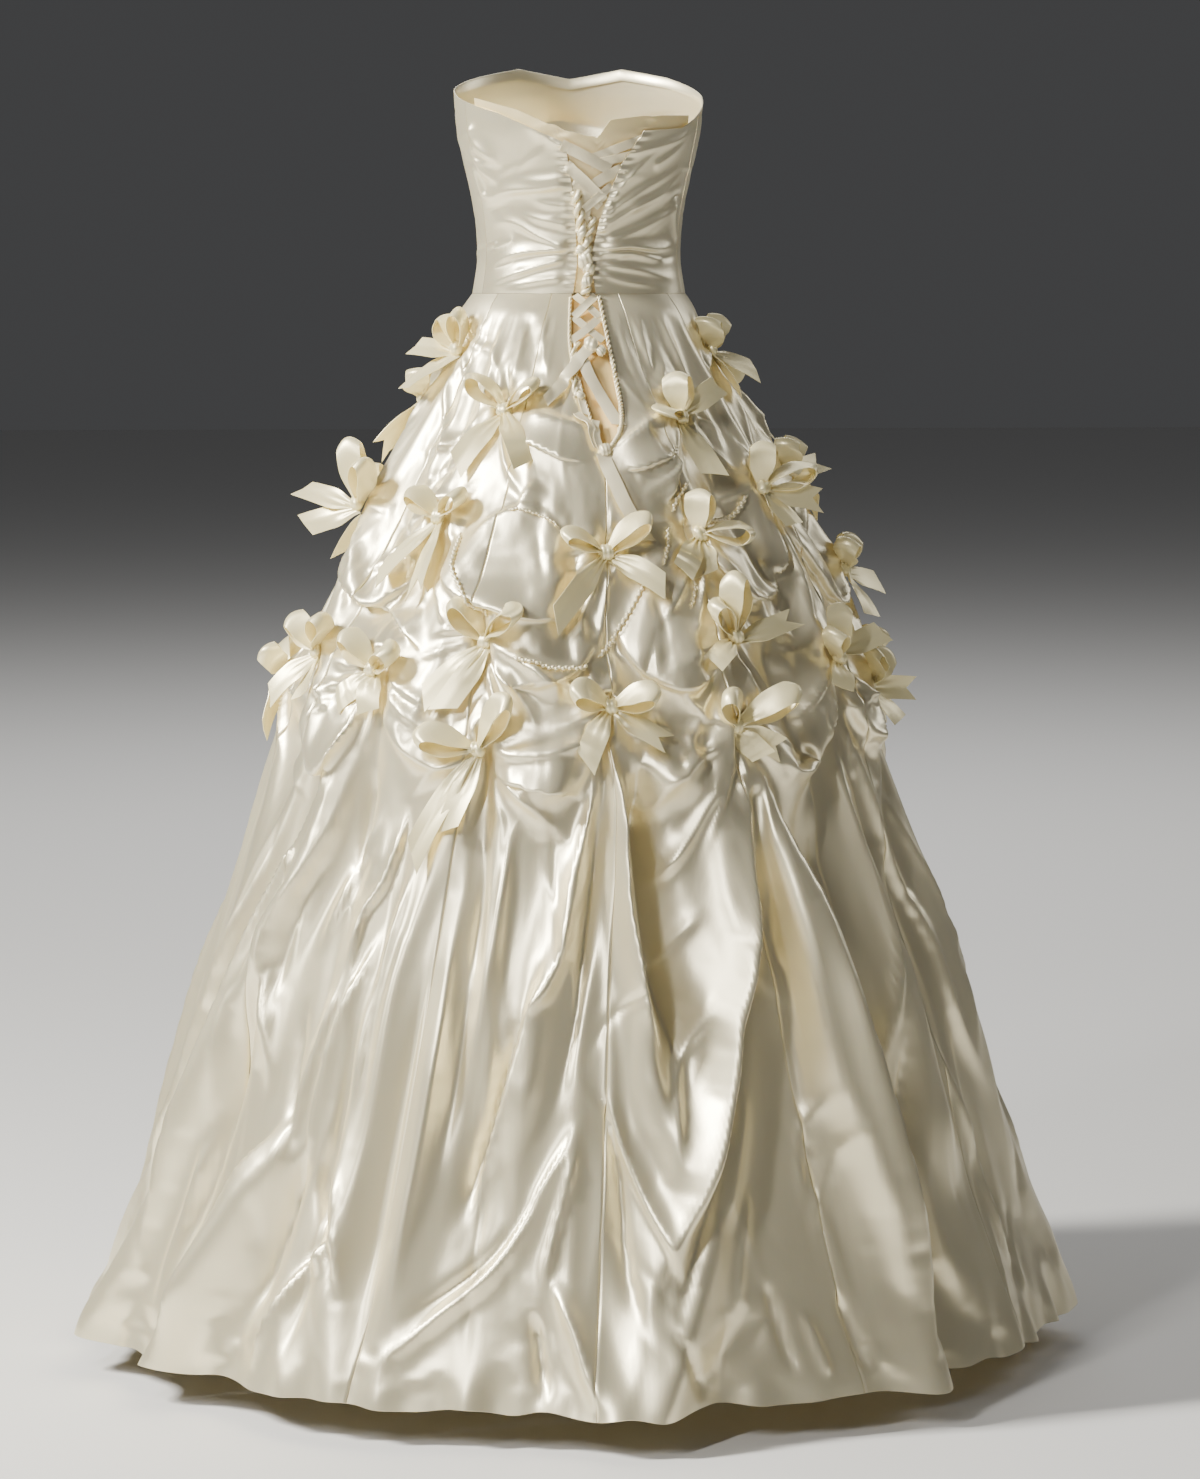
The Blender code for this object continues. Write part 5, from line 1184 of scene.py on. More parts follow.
def left_slit(z):
    """The angle of the bodice's laced edge on the left."""
    return along(BODICE_SLIT_LEFT, z)


def right_slit(z):
    """The angle of its laced edge on the right."""
    return along(BODICE_SLIT_RIGHT, z)


BODICE_PANELS = {
    # name: left edge, right edge, top edge, columns, turned edges, flat size
    "bodice_back_left": (
        fixed(SIDE_SEAM_LEFT + SEAM_TURN), left_slit, BACK_LEFT_TOP, 64, ("top", "right"), (0.14, 0.19),
    ),
    "bodice_back_right": (
        right_slit, fixed(SIDE_SEAM_RIGHT - SEAM_TURN), BACK_RIGHT_TOP, 72, ("top", "left"), (0.12, 0.19),
    ),
    "bodice_front": (
        fixed(SIDE_SEAM_RIGHT + SEAM_TURN), fixed(360.0 - SEAM_TURN + SIDE_SEAM_LEFT), FRONT_TOP,
        170, ("top",), (0.48, 0.25),
    ),
}
BODICE_ROWS = 84
MODESTY_GRID = (70, 70)  # columns and rows
UNDERLAY_GRID = (50, 40)  # rows and columns


def panel_grid(left_edge, right_edge, top_table, columns, rows, foot_z):
    """Angles and heights over a panel between two edges, from its top edge down to its foot."""
    share = np.linspace(0, 1, columns)
    down = np.linspace(1, 0, rows)[:, None]
    level = np.full(columns, PANEL_TOP_GUESS)
    top = along(top_table, left_edge(level) * (1 - share) + right_edge(level) * share)
    z = foot_z + (top - foot_z) * down
    angle = left_edge(z) * (1 - share) + right_edge(z) * share
    return angle, z


def make_panels(material):
    """The bodice's front and its two laced back panels."""
    for name, (left, right, top, columns, turned, flat) in BODICE_PANELS.items():
        angle, z = panel_grid(left, right, top, columns, BODICE_ROWS, SEAM_GAP / 2)
        item = cloth_sheet(name + "_satin", bodice_surface(angle, z), material, turned)
        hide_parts(name)


def make_modesty(material):
    """The panel behind the lacing."""
    left, right = (fixed(angle) for angle in MODESTY_SPAN)
    points = bodice_surface(*panel_grid(left, right, MODESTY_TOP, *MODESTY_GRID, MODESTY_FOOT))
    item = cloth_sheet("modesty_panel_satin", points, material, ("top",), MODESTY_DEPTH)
    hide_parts("modesty_panel")


def make_underlay(material):
    """The cloth behind the slit below the waist."""
    rows, columns = UNDERLAY_GRID
    z = np.linspace(UNDERLAY_TOP, UNDERLAY_END_Z, rows)[:, None] + np.zeros(columns)
    angle = np.linspace(*UNDERLAY_SPAN, columns) + 0 * z
    points = skirt_surface(angle, z)
    item = cloth_sheet("placket_underlay_satin", points, material, (), UNDERLAY_DEPTH)
    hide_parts("placket_underlay")


# ------------------------------------------------------------------ ribbons
RIBBON_THICKNESS = 0.0006
RIBBON_HALF = 0.0132
GATHERED_HALF = 0.0046  # a ribbon's half breadth where the knot grips it
ACROSS = 9  # places across a ribbon
PHASES = (0, 6)  # the range that creases' and pleats' phases are drawn from, in radians
KNOT_GRID = (12, 20)  # rings along a knot, and places round each
KNOT_HALF = 0.0066  # half its length
KNOT_BREADTHS = (0.0072, 0.0056)  # its half breadths up the cloth and away from it
KNOT_ROUNDING = 0.97  # how nearly its ends close
KNOT_WRAPS = (0.07, 9, 0.8)  # how deep, close and slanting the creases of its wraps are
KNOT_SWELL = 0.05  # how unround it is
KNOT_SKEW = 0.0012
CORD_SIDES = 6
CLEARANCE = 0.0009
LIFT_REACH = 2  # stations on either side that rise with one that has to
LIFT_EASING = (0.2, 0.6, 0.2)


class Ribbons:
    """Ribbon strips, knots and cords gathered into one mesh."""

    def __init__(self):
        self.points = []
        self.faces = []
        self.rims = set()
        self.count = 0

    def add(self, points, faces):
        self.points.append(points)
        self.faces += faces
        self.count += len(points)

    def strip(self, grid, thickness=RIBBON_THICKNESS):
        """A closed thin strip over a grid of stations by places across."""
        normals = grid_normals(grid)
        rows, columns = grid.shape[:2]
        size = rows * columns
        start = self.count
        faces = grid_quads(rows, columns, start)
        faces += [quad[::-1] for quad in grid_quads(rows, columns, start + size)]
        place = np.arange(size).reshape(rows, columns) + start
        rim = [*place[:, 0], *place[-1, 1:], *place[-2::-1, -1], *place[0, -2:0:-1]]
        for a, b in zip(rim, rim[1:] + rim[:1]):
            faces.append([int(b), int(a), int(a) + size, int(b) + size])
            self.rims.add(frozenset((int(a), int(b))))
            self.rims.add(frozenset((int(a) + size, int(b) + size)))
        outer = (grid + normals * thickness / 2).reshape(-1, 3)
        inner = (grid - normals * thickness / 2).reshape(-1, 3)
        self.add(np.concatenate([outer, inner]), faces)

    def add_rings(self, rings):
        """A closed barrel over rings of points, with a flat cap at either end."""
        rows, columns = rings.shape[:2]
        faces = []
        for i in range(rows - 1):
            a, b = i * columns + self.count, (i + 1) * columns + self.count
            for j in range(columns):
                k = (j + 1) % columns
                faces.append([a + j, a + k, b + k, b + j])
        faces.append([self.count + j for j in reversed(range(columns))])
        faces.append([self.count + (rows - 1) * columns + j for j in range(columns)])
        self.add(rings.reshape(-1, 3), faces)

    def knot(self, centre, right, up, outward, scale, rng):
        """A gripped wrap of ribbon: a short barrel with the creases of the pulled cloth."""
        rows, columns = KNOT_GRID
        rings = np.zeros((rows, columns, 3))
        phase = rng.uniform(*PHASES)
        depth, wraps, slant = KNOT_WRAPS
        for i, a in enumerate(np.linspace(-1, 1, rows)):
            girth = sqrt(max(0.0, 1 - (KNOT_ROUNDING * a) ** 4))
            for j in range(columns):
                turn = 2 * pi * j / columns
                crease = 1 + depth * sin(wraps * a + phase + slant * sin(turn))
                crease += KNOT_SWELL * sin(2 * turn + phase)
                side = up * (KNOT_BREADTHS[0] * cos(turn)) + outward * (KNOT_BREADTHS[1] * sin(turn))
                skew = right * (KNOT_SKEW * sin(turn + phase))
                rings[i, j] = centre + right * (KNOT_HALF * a) + (side * girth * crease + skew)
        self.add_rings(centre + (rings - centre) * scale)

    def tube(self, centres, radius, sides=CORD_SIDES):
        """A round cord along its centres, of one radius or of one for each."""
        tangent = unit(np.gradient(centres, axis=0))
        frame_x = np.zeros_like(centres)
        last = np.array(Vector(tangent[0]).orthogonal())
        for i, way in enumerate(tangent):
            last = last - way * np.dot(last, way)
            last = last / np.linalg.norm(last)
            frame_x[i] = last
        frame_y = np.cross(tangent, frame_x)
        turn = np.arange(sides) * 2 * pi / sides
        ring = frame_x[:, None] * np.cos(turn)[None, :, None] + frame_y[:, None] * np.sin(turn)[None, :, None]
        self.add_rings(centres[:, None] + ring * np.reshape(radius, (-1, 1, 1)))

    def piece(self, name, material, slot):
        """All of it as one piece of the gown, with the strips' rims kept sharp."""
        item = mesh_piece(name, np.concatenate(self.points), self.faces, material)
        for edge in item.data.edges:
            edge.use_edge_sharp = frozenset(edge.vertices) in self.rims
        return item


def lift_clear(grid, tree, outward):
    """Moves each station of a strip out along one direction until it clears the cloth, smoothly along it."""
    rise = np.zeros(len(grid))
    for i, station in enumerate(grid):
        for place in station[::2]:
            near, normal, _, _ = tree.find_nearest(Vector(place))
            height = (Vector(place) - near).dot(normal)
            rise[i] = max(rise[i], CLEARANCE - height)
    stations = range(len(rise))
    spread = np.array([np.max(rise[max(0, i - LIFT_REACH): i + LIFT_REACH + 1]) for i in stations])
    eased = np.convolve(np.pad(spread, 1, mode="edge"), LIFT_EASING, mode="valid")
    return grid + np.maximum(rise, eased)[:, None, None] * outward


# ------------------------------------------------------------------ bows
BOW_SEED = 300
BOW_SEARCH = 0.12  # how far off the cloth a bow's seat is looked for, and how far to either side
BOW_SEARCH_ASIDE = (-0.004, 0.0, 0.004)
KNOT_OUT = 0.0055
KNOT_FORWARD = 0.0034  # how far the knot stands before the loops' gathered roots
KNOT_SCALE = 1.12
CONE_STEP = (3.0, 0.02)  # the angle and height over which the skirt's slope is taken
NOTCHED = (6, 9, 10, 15, 18, 19, 20)  # bows whose right tail ends in a notch

LOOP_STATIONS = 34
LOOP_OPENING = (30, 54)  # degrees that a loop's opening is turned towards the eye
LOOP_BULGE = 0.019
LOOP_BULGES = (0.85, 1.2)  # the shares of it that loops have
LOOP_SIDE = 0.62  # how far either side of a loop stands from its middle, in bulges
LOOP_TIP = 0.5  # how far its tip rises, in bulges
LOOP_SPREAD = 0.62  # the share of its reach over which the ribbon spreads out
LOOP_EDGE_SHORT = 0.13  # how much shorter the ribbon's edges run than its middle
LOOP_PLEAT = 0.0024  # how high the pleats at the knot are, where they end and how close they are
LOOP_PLEAT_END = 0.85
LOOP_PLEATS = 3.6
LOOP_CUP = 0.0030  # how far the ribbon cups
LOOP_CUP_LEVEL = 0.4  # the square of the share of its half breadth at which it stays level
LOOP_CUP_START = 0.5  # the share of its reach over which the cup grows
LOOP_SKEW = 0.12  # how far its tip strays aside, as a share of its length
WRINKLE_SHARES = (0.5, 0.9)  # how much of pleats and cup shows along the loop and across its opening

TAIL_STATIONS = 26
NOTCH = (0.20, 0.03)  # how deep a notch is cut, and how unevenly, as shares of the tail
SLANT = 0.17
CUT_START = 0.4  # the share of the tail from which the cut shapes it
TAIL_TWISTS = (24, 34)  # the most degrees that a tail is turned at its knot, and along it
TAIL_NARROWER = 0.0008  # on either side, than a loop's ribbon
TAIL_SPREAD = 0.42
TAIL_BEND = 0.10  # how far its tip strays aside, as a share of its length
TAIL_CURL = 0.006  # how far its middle arches off the cloth
TAIL_PLEAT = 0.0020
TAIL_PLEAT_END = 0.6
TAIL_PLEATS = 2.6
TAIL_FOLD = 0.0022
TAIL_FOLD_START = 0.5
TAIL_DROOP = 0.004  # how far its tip hangs
TAIL_ROOT = (0.002, 0.004, 0.0015)  # how far aside, below and behind the knot's middle a tail starts
UPWARD = 0.3  # a tail whose direction has a larger sine than this starts above it


def loop_profile(length, rng):
    """A loop's ribbon before it is placed: how far it lies along its way, across its opening and aside."""
    t = np.linspace(0, 1, LOOP_STATIONS)[:, None] * 2 * pi
    v = np.linspace(-1, 1, ACROSS)[None, :]
    reach = (1 - np.cos(t)) / 2
    bulge = LOOP_BULGE * rng.uniform(*LOOP_BULGES)
    height = -bulge * np.sin(t) * np.sqrt(reach) * LOOP_SIDE + bulge * LOOP_TIP * reach
    half = GATHERED_HALF + (RIBBON_HALF - GATHERED_HALF) * smooth_step(reach / LOOP_SPREAD)
    gathered = 1 - smooth_step(reach / LOOP_PLEAT_END)
    wrinkle = LOOP_PLEAT * gathered * np.cos(LOOP_PLEATS * pi * v + rng.uniform(*PHASES))
    cup = rng.uniform(-LOOP_CUP, LOOP_CUP) * (v**2 - LOOP_CUP_LEVEL)
    wrinkle = wrinkle + cup * smooth_step(reach / LOOP_CUP_START)
    skew = rng.uniform(-LOOP_SKEW, LOOP_SKEW)
    along_way = length * (1 - LOOP_EDGE_SHORT * v**2) * reach + wrinkle * np.sin(t) * WRINKLE_SHARES[0]
    rise = height + wrinkle * -np.cos(t) * WRINKLE_SHARES[1]
    aside = half * v + skew * length * reach
    return along_way, rise, aside


def tail_places(v, side, cut):
    """Shares of a tail's length at its stations, for each place across it, as its end is cut."""
    s = np.linspace(0, 1, TAIL_STATIONS)[:, None]
    if cut == "notch":
        shorter = NOTCH[0] * (1 - np.abs(v)) + NOTCH[1] * v
    else:
        shorter = SLANT * (v * side + 1) / 2
    return s * (1 - shorter * smooth_step((s - CUT_START) / (1 - CUT_START)))


class Bow:
    """One tied bow on the cloth: a knot, two loops and two tails of flat satin ribbon."""

    def __init__(self, tree, angle, z, rng):
        self.out, self.right, self.up = skirt_cone_frame(angle, z)
        plain_place = Vector(ring_point(section_radius(SKIRT_SECTIONS, angle, z), angle, z))
        outside = plain_place + BOW_SEARCH * Vector(self.out)
        tries = [
            tree.ray_cast(outside + Vector(self.right) * shift, -Vector(self.out))[0]
            for shift in BOW_SEARCH_ASIDE
        ]
        seat = max((place for place in tries if place is not None), key=Vector(self.out).dot)
        self.centre = np.array(seat) + self.out * KNOT_OUT
        self.tree = tree
        self.rng = rng
        self.ribbons = Ribbons()

    def way(self, direction, lift):
        """A direction along the cloth, lifted off it."""
        flat = self.right * cos(radians(direction)) + self.up * sin(radians(direction))
        return flat * cos(radians(lift)) + self.out * sin(radians(lift))

    def loop(self, direction, length, lift):
        """Adds one loop, its opening turned a little towards the eye."""
        way = self.way(direction, lift)
        side = unit(np.cross(self.out, way))
        top = np.cross(way, side)
        rightward = 1 if cos(radians(direction)) > 0 else -1
        opening = radians(self.rng.uniform(*LOOP_OPENING)) * rightward
        rise_way = top * cos(opening) + side * sin(opening)
        breadth_way = side * cos(opening) - top * sin(opening)
        along_way, rise, aside = loop_profile(length / 1000, self.rng)
        grid = (
            self.centre
            + along_way[..., None] * way
            + rise[..., None] * rise_way
            + aside[..., None] * breadth_way
        )
        self.ribbons.strip(lift_clear(grid, self.tree, self.out))

    def tail_root(self, direction, side):
        """Where a tail comes out from under the knot."""
        aside, below, behind = TAIL_ROOT
        start = self.centre - self.up * below * (1 if sin(radians(direction)) < UPWARD else -1)
        return start + self.right * aside * side - self.out * behind

    def tail(self, direction, length, lift, side, cut):
        """Adds one tail; side is -1 at the photo's left and 1 at its right."""
        rng = self.rng
        length = length / 1000
        way = self.way(direction, lift)
        across = unit(np.cross(self.out, way))
        v = np.linspace(-1, 1, ACROSS)[None, :]
        place = tail_places(v, side, cut)
        first, more = (radians(rng.uniform(-most, most)) for most in TAIL_TWISTS)
        twist = first + more * place
        breadth_way = across * np.cos(twist)[..., None] + np.cross(way, across) * np.sin(twist)[..., None]
        widest = RIBBON_HALF - TAIL_NARROWER
        half = GATHERED_HALF + (widest - GATHERED_HALF) * smooth_step(place / TAIL_SPREAD)
        bend = rng.uniform(-TAIL_BEND, TAIL_BEND) * length
        curl = rng.uniform(0.0, TAIL_CURL)
        gathered = 1 - smooth_step(place / TAIL_PLEAT_END)
        pleat = TAIL_PLEAT * gathered * np.cos(TAIL_PLEATS * pi * v + rng.uniform(*PHASES))
        fold = rng.uniform(-TAIL_FOLD, TAIL_FOLD) * np.abs(v) * smooth_step(place / TAIL_FOLD_START)
        grid = (
            self.tail_root(direction, side)
            + (length * place)[..., None] * way
            + (half * v)[..., None] * breadth_way
            + (bend * place**2)[..., None] * across
            + (curl * np.sin(pi * place) + pleat + fold)[..., None] * self.out
            - (TAIL_DROOP * place**2)[..., None] * np.array([0.0, 0.0, 1.0])
        )
        self.ribbons.strip(lift_clear(grid, self.tree, self.out))

    def finish(self, name, material):
        """Adds the knot, and makes the bow one piece."""
        front = self.centre + self.out * KNOT_FORWARD
        self.ribbons.knot(front, self.right, self.up, self.out, KNOT_SCALE, self.rng)
        return self.ribbons.piece(name + "_ribbon", material, "ribbon")


def skirt_cone_frame(angle, z):
    """Outward, rightward and upward directions on the plain cone of the skirt."""
    def cone(a, h):
        return ring_point(section_radius(SKIRT_SECTIONS, a, h), a, h)

    angle_step, z_step = CONE_STEP
    across = cone(angle + angle_step, z) - cone(angle - angle_step, z)
    upward = cone(angle, z + z_step) - cone(angle, z - z_step)
    out = unit(np.cross(across, upward))
    right = np.array([-cos(radians(angle)), -sin(radians(angle)), 0.0])
    up = unit(np.cross(out, right))
    return out, right, up


def bow_rows():
    """The place and the legs of every bow; those of the hidden front take turns at three sets of legs."""
    rows = [(bow[:2], bow[2:]) for bow in BOWS]
    for index, place in enumerate(FRONT_BOW_PLACES):
        rows.append((place, FRONT_BOW_LEGS[index % len(FRONT_BOW_LEGS)]))
    return rows


def make_bows(tree, material):
    """All the bows, each one piece that lies on the gores."""
    for index, (place, (left_loop, right_loop, left_tail, right_tail)) in enumerate(bow_rows()):
        notched = index + 1 in NOTCHED or index >= len(BOWS) and index % 2
        bow = Bow(tree, *place, np.random.default_rng(BOW_SEED + index))
        bow.tail(*left_tail, -1, "slant")
        bow.tail(*right_tail, 1, "notch" if notched else "slant")
        bow.loop(*left_loop)
        bow.loop(*right_loop)
        name = f"bow_{index + 1:02d}"
        item = bow.finish(name, material)
        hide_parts(name)


# ------------------------------------------------------------------ lacing, ties and cords
# Ribbon strips across the open back, each on a line of (angle, z), with how far it lies off the
# bodice's outer face at its start, middle and end.
LACE_STRIPS = (
    # path, half breadth, lift at start, middle, end
    (((-3, 0.064), (-1, 0.080), (2, 0.100)), 0.0062, -0.0014, -0.0006, -0.0016),
    (((25, 0.129), (12, 0.118), (-1, 0.104)), 0.0056, -0.0020, -0.0004, -0.0014),
    (((-9, 0.112), (0, 0.102), (10, 0.088)), 0.0044, -0.0020, -0.0002, -0.0018),
    (((30, 0.142), (18, 0.137), (3, 0.131)), 0.0046, -0.0020, -0.0006, -0.0014),
    (((34, 0.157), (20, 0.148), (4, 0.137)), 0.0048, -0.0018, -0.0008, -0.0014),
    (((-12, 0.131), (0, 0.113), (12, 0.094)), 0.0058, 0.0006, 0.0012, -0.0010),
    (((-14, 0.151), (0, 0.139), (15, 0.126)), 0.0058, 0.0006, 0.0012, -0.0010),
    (((17, 0.110), (8, 0.098), (-4, 0.082)), 0.0040, -0.0020, 0.0006, 0.0000),
)
LOWER_LACE_STRIPS = (
    (((-7, -0.002), (0, -0.012), (7, -0.024)), 0.0042, 0.0004, 0.0014, 0.0006),
    (((7, -0.002), (0, -0.013), (-7, -0.024)), 0.0042, 0.0002, 0.0030, 0.0004),
    (((-7, -0.024), (0, -0.036), (7, -0.048)), 0.0042, 0.0004, 0.0014, 0.0006),
    (((7, -0.024), (0, -0.037), (-8, -0.048)), 0.0042, 0.0002, 0.0030, 0.0004),
)
# Twisted runs of the narrow lace: path, coil radius, strand radius, turns.
LACE_TWISTS = (
    (((-6, 0.104), (-5, 0.090), (-3, 0.074), (-2, 0.060)), 0.0030, 0.0029, 2.0),
    (((-3, 0.066), (-1, 0.056), (1, 0.046), (0, 0.034)), 0.0034, 0.0031, 1.5),
    (((5, 0.078), (4, 0.068), (2, 0.058), (1, 0.048)), 0.0024, 0.0023, 1.5),
    (((0, 0.034), (2, 0.022), (1, 0.008), (0, -0.002)), 0.0030, 0.0027, 2.0),
    (((-5, -0.050), (-7, -0.070), (-6, -0.090), (-5, -0.104)), 0.0018, 0.0017, 2.5),
)
# Where the lace is knotted on itself: angle, z, scale, roll in radians.
LACE_KNOTS = ((0, 0.034, 1.15, 0.5), (3, 0.026, 0.85, -0.6), (-3, 0.044, 0.8, 1.2), (1, 0.012, 0.8, 0.2))
# Tails and short pieces below the waist: path, half breadth, lifts.
UPPER_TIE_STRIPS = (
    (((1, -0.055), (-5, -0.072), (-10, -0.091), (-15, -0.110)), 0.0062, 0.0050, 0.0060, 0.0050),
    (((-3, -0.066), (0, -0.086), (4, -0.108), (8, -0.132)), 0.0062, 0.0036, 0.0030, 0.0020),
)
LOWER_TIE_STRIPS = (
    (((-5, -0.086), (-4, -0.104), (-2, -0.122)), 0.0034, 0.0010, 0.0030, 0.0020),
    (((-5, -0.120), (-2, -0.134), (1, -0.156)), 0.0044, 0.0012, 0.0044, 0.0030),
    (((1, -0.128), (0, -0.142), (2, -0.158)), 0.0034, 0.0020, 0.0050, 0.0030),
    (((2, -0.160), (5, -0.188), (8, -0.216), (12, -0.246)), 0.0070, 0.0040, 0.0060, 0.0060),
)
TIES = {
    # name: strips, knots, flat size
    "lace_tie_upper": (UPPER_TIE_STRIPS, ((1, -0.054, 1.15, -0.5), (5, -0.060, 0.75, 0.9)), (0.0125, 0.16)),
    "lace_tie_lower": (LOWER_TIE_STRIPS, ((3, -0.158, 0.90, 0.3), (-4, -0.104, 0.65, 0.8)), (0.0125, 0.21)),
}
LACE_SEED = 77
LACE_STATIONS = 22
LACE_ACROSS = 7
LACE_CUP = (-0.0005, 0.0008)  # how far a strip's edges stand off its middle
LACE_TILT = 0.10
TIE_CUT = 0.6  # how slanting a tie's end is cut, in half breadths, and how suddenly
TIE_CUT_POWER = 6
TWIST_STATIONS = (24, 10)  # the least of them, and how many for each turn
TWIST_LIFT = 0.0015  # how far off the cloth the lace's twists lie, its knots and the ties' knots
LACE_KNOT_LIFT = 0.0030
TIE_KNOT_LIFT = 0.0040
# Lines along which the puffs are drawn up, each a row of small puckers: path, girth.
GATHERED_EDGES = (
    (((-35, -0.230), (-32, -0.252), (-27, -0.283), (-22, -0.317)), 0.0021),
    (((-16, -0.349), (-13, -0.354), (-9, -0.357), (-5, -0.356), (-3, -0.353)), 0.0022),
    (((11, -0.280), (8, -0.299), (5, -0.319), (3, -0.335), (0, -0.350)), 0.0022),
    (((47, -0.198), (42, -0.210), (37, -0.216), (31, -0.224), (26, -0.229)), 0.0022),
    (((26, -0.187), (24, -0.196), (22, -0.204), (20, -0.218)), 0.0020),
    (((23, -0.267), (22, -0.287), (20, -0.306)), 0.0016),
    (((-21, -0.216), (-18, -0.215), (-14, -0.219), (-11, -0.225), (-9, -0.231)), 0.0013),
    (((18, -0.232), (17, -0.249), (15, -0.266)), 0.0018),
)
GATHER_PITCH = 0.0034
GATHER_STATIONS = 160
GATHER_SIDES = 8
GATHER_LIFT = 1.1  # how far off the cloth the puckers lie, and how far they sway, in girths
GATHER_SWAY = 0.3
GATHER_NECK = 0.55  # the girth between two puckers, and what a pucker adds to it
GATHER_SWELL = 0.45
GATHER_END = (0.004, 0.3)  # how long the thinner ends are, and how thin
# The corded edges of the slit: path, coil radius, strand radius, turns for each metre.
CORDS = (
    (((8.6, -0.004), (9.2, -0.060), (9.6, -0.110), (8.0, -0.138), (4.0, -0.158)), 0.0013, 0.0011, 130),
    (((-9.6, -0.004), (-8.0, -0.056), (-2.4, -0.106), (1.4, -0.150)), 0.0010, 0.0009, 130),
)
CORD_STRETCH = 0.035  # roughly the length of a cord for each point of its path
CORD_STATIONS = 900  # for each metre
CORD_LIFT = 0.3  # how far a cord stands off the cloth beyond its coil, in strand radii


class BackForm:
    """The gown's back, bodice above and skirt below, sampled once so that trimmings can be laid on it."""

    LOW_ANGLE, HIGH_ANGLE, ANGLE_STEP = -64.0, 64.0, 0.5
    LOW_Z, HIGH_Z, Z_STEP = -0.38, 0.20, 0.002
    LAST_CELL = 1.001  # keeps a place within the last cell

    def __init__(self, skirt):
        self.angles = np.arange(self.LOW_ANGLE, self.HIGH_ANGLE + self.ANGLE_STEP, self.ANGLE_STEP)
        self.heights = np.arange(self.HIGH_Z, self.LOW_Z - self.Z_STEP, -self.Z_STEP)
        angle, z = np.meshgrid(self.angles, self.heights)
        above = z > 0
        self.points = np.zeros((*z.shape, 3))
        self.points[above] = bodice_surface(angle[above], z[above])
        self.points[~above] = skirt(angle[~above], z[~above])
        self.normals = grid_normals(self.points)

    def at(self, angle, z):
        """Points and outward normals at places on the back."""
        column = np.clip((angle - self.angles[0]) / self.ANGLE_STEP, 0, len(self.angles) - self.LAST_CELL)
        row = np.clip((self.heights[0] - z) / self.Z_STEP, 0, len(self.heights) - self.LAST_CELL)
        left, upper = column.astype(int), row.astype(int)
        s, t = (column - left)[..., None], (row - upper)[..., None]
        found = []
        for table in (self.points, self.normals):
            top = table[upper, left] * (1 - s) + table[upper, left + 1] * s
            foot = table[upper + 1, left] * (1 - s) + table[upper + 1, left + 1] * s
            found.append(top * (1 - t) + foot * t)
        return found[0], unit(found[1])


def lay_strip(ribbons, back, path, half, lifts, rng, end_cut=0.0):
    """A flat ribbon laid along a line on the gown's back, its end cut slanting by end_cut."""
    line = smooth_line(path, LACE_STATIONS)
    points, normals = back.at(line[:, 0], line[:, 1])
    along_way = unit(np.gradient(points, axis=0))
    breadth_way = unit(np.cross(normals, along_way))
    s = np.linspace(0, 1, LACE_STATIONS)
    lift = np.interp(s, (0.0, 0.5, 1.0), lifts)
    v = np.linspace(-1, 1, LACE_ACROSS)
    cup = rng.uniform(*LACE_CUP)
    tilt = rng.uniform(-LACE_TILT, LACE_TILT)
    grid = (
        points[:, None]
        + normals[:, None] * (lift[:, None] + cup * v**2 + tilt * half * v)[..., None]
        + breadth_way[:, None] * (half * v)[None, :, None]
        + along_way[:, None] * (end_cut * s[:, None] ** TIE_CUT_POWER * v)[..., None]
    )
    ribbons.strip(grid)


def lay_twist(ribbons, back, path, coil, strand, turns, lift, stations):
    """Two strands twisted round each other along a line on the gown's back."""
    line = smooth_line(path, stations)
    points, normals = back.at(line[:, 0], line[:, 1])
    along_way = unit(np.gradient(points, axis=0))
    aside = unit(np.cross(normals, along_way))
    phase = np.linspace(0, 2 * pi * turns, stations)
    for half_turn in (0.0, pi):
        out = np.sin(phase + half_turn) * coil
        side = np.cos(phase + half_turn) * coil
        centres = points + normals * (lift + out)[:, None] + aside * side[:, None]
        ribbons.tube(centres, strand)


def add_knot(ribbons, back, angle, z, lift, scale, roll, rng):
    """A knot on the gown's back, rolled on the cloth."""
    point, normal = back.at(np.array([float(angle)]), np.array([float(z)]))
    out = normal[0]
    right = unit(np.cross(np.array([0.0, 0.0, 1.0]), out))
    up = np.cross(out, right)
    turned_right = right * cos(roll) + up * sin(roll)
    ribbons.knot(point[0] + out * lift, turned_right, np.cross(out, turned_right), out, scale, rng)


def make_lace(material, back, rng):
    """The criss-cross lace, its twisted runs and the knots where it is tied on itself."""
    lace = Ribbons()
    for path, half, *lifts in (*LACE_STRIPS, *LOWER_LACE_STRIPS):
        lay_strip(lace, back, path, half, lifts, rng)
    least, for_each_turn = TWIST_STATIONS
    for path, coil, strand, turns in LACE_TWISTS:
        stations = max(least, int(turns * for_each_turn))
        lay_twist(lace, back, path, coil, strand, turns, TWIST_LIFT, stations)
    for angle, z, scale, roll in LACE_KNOTS:
        add_knot(lace, back, angle, z, LACE_KNOT_LIFT, scale, roll, rng)
    piece = lace.piece("corset_lace_ribbon", material, "lacing")
    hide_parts("corset_lace")


def make_tie(name, material, back, rng):
    """The knots and free ends at one place of the lace."""
    strips, knots, flat = TIES[name]
    tie = Ribbons()
    for path, half, *lifts in strips:
        lay_strip(tie, back, path, half, lifts, rng, TIE_CUT * half)
    for angle, z, scale, roll in knots:
        add_knot(tie, back, angle, z, TIE_KNOT_LIFT, scale, roll, rng)
    item = tie.piece(name + "_ribbon", material, "lacing")
    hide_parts(name)


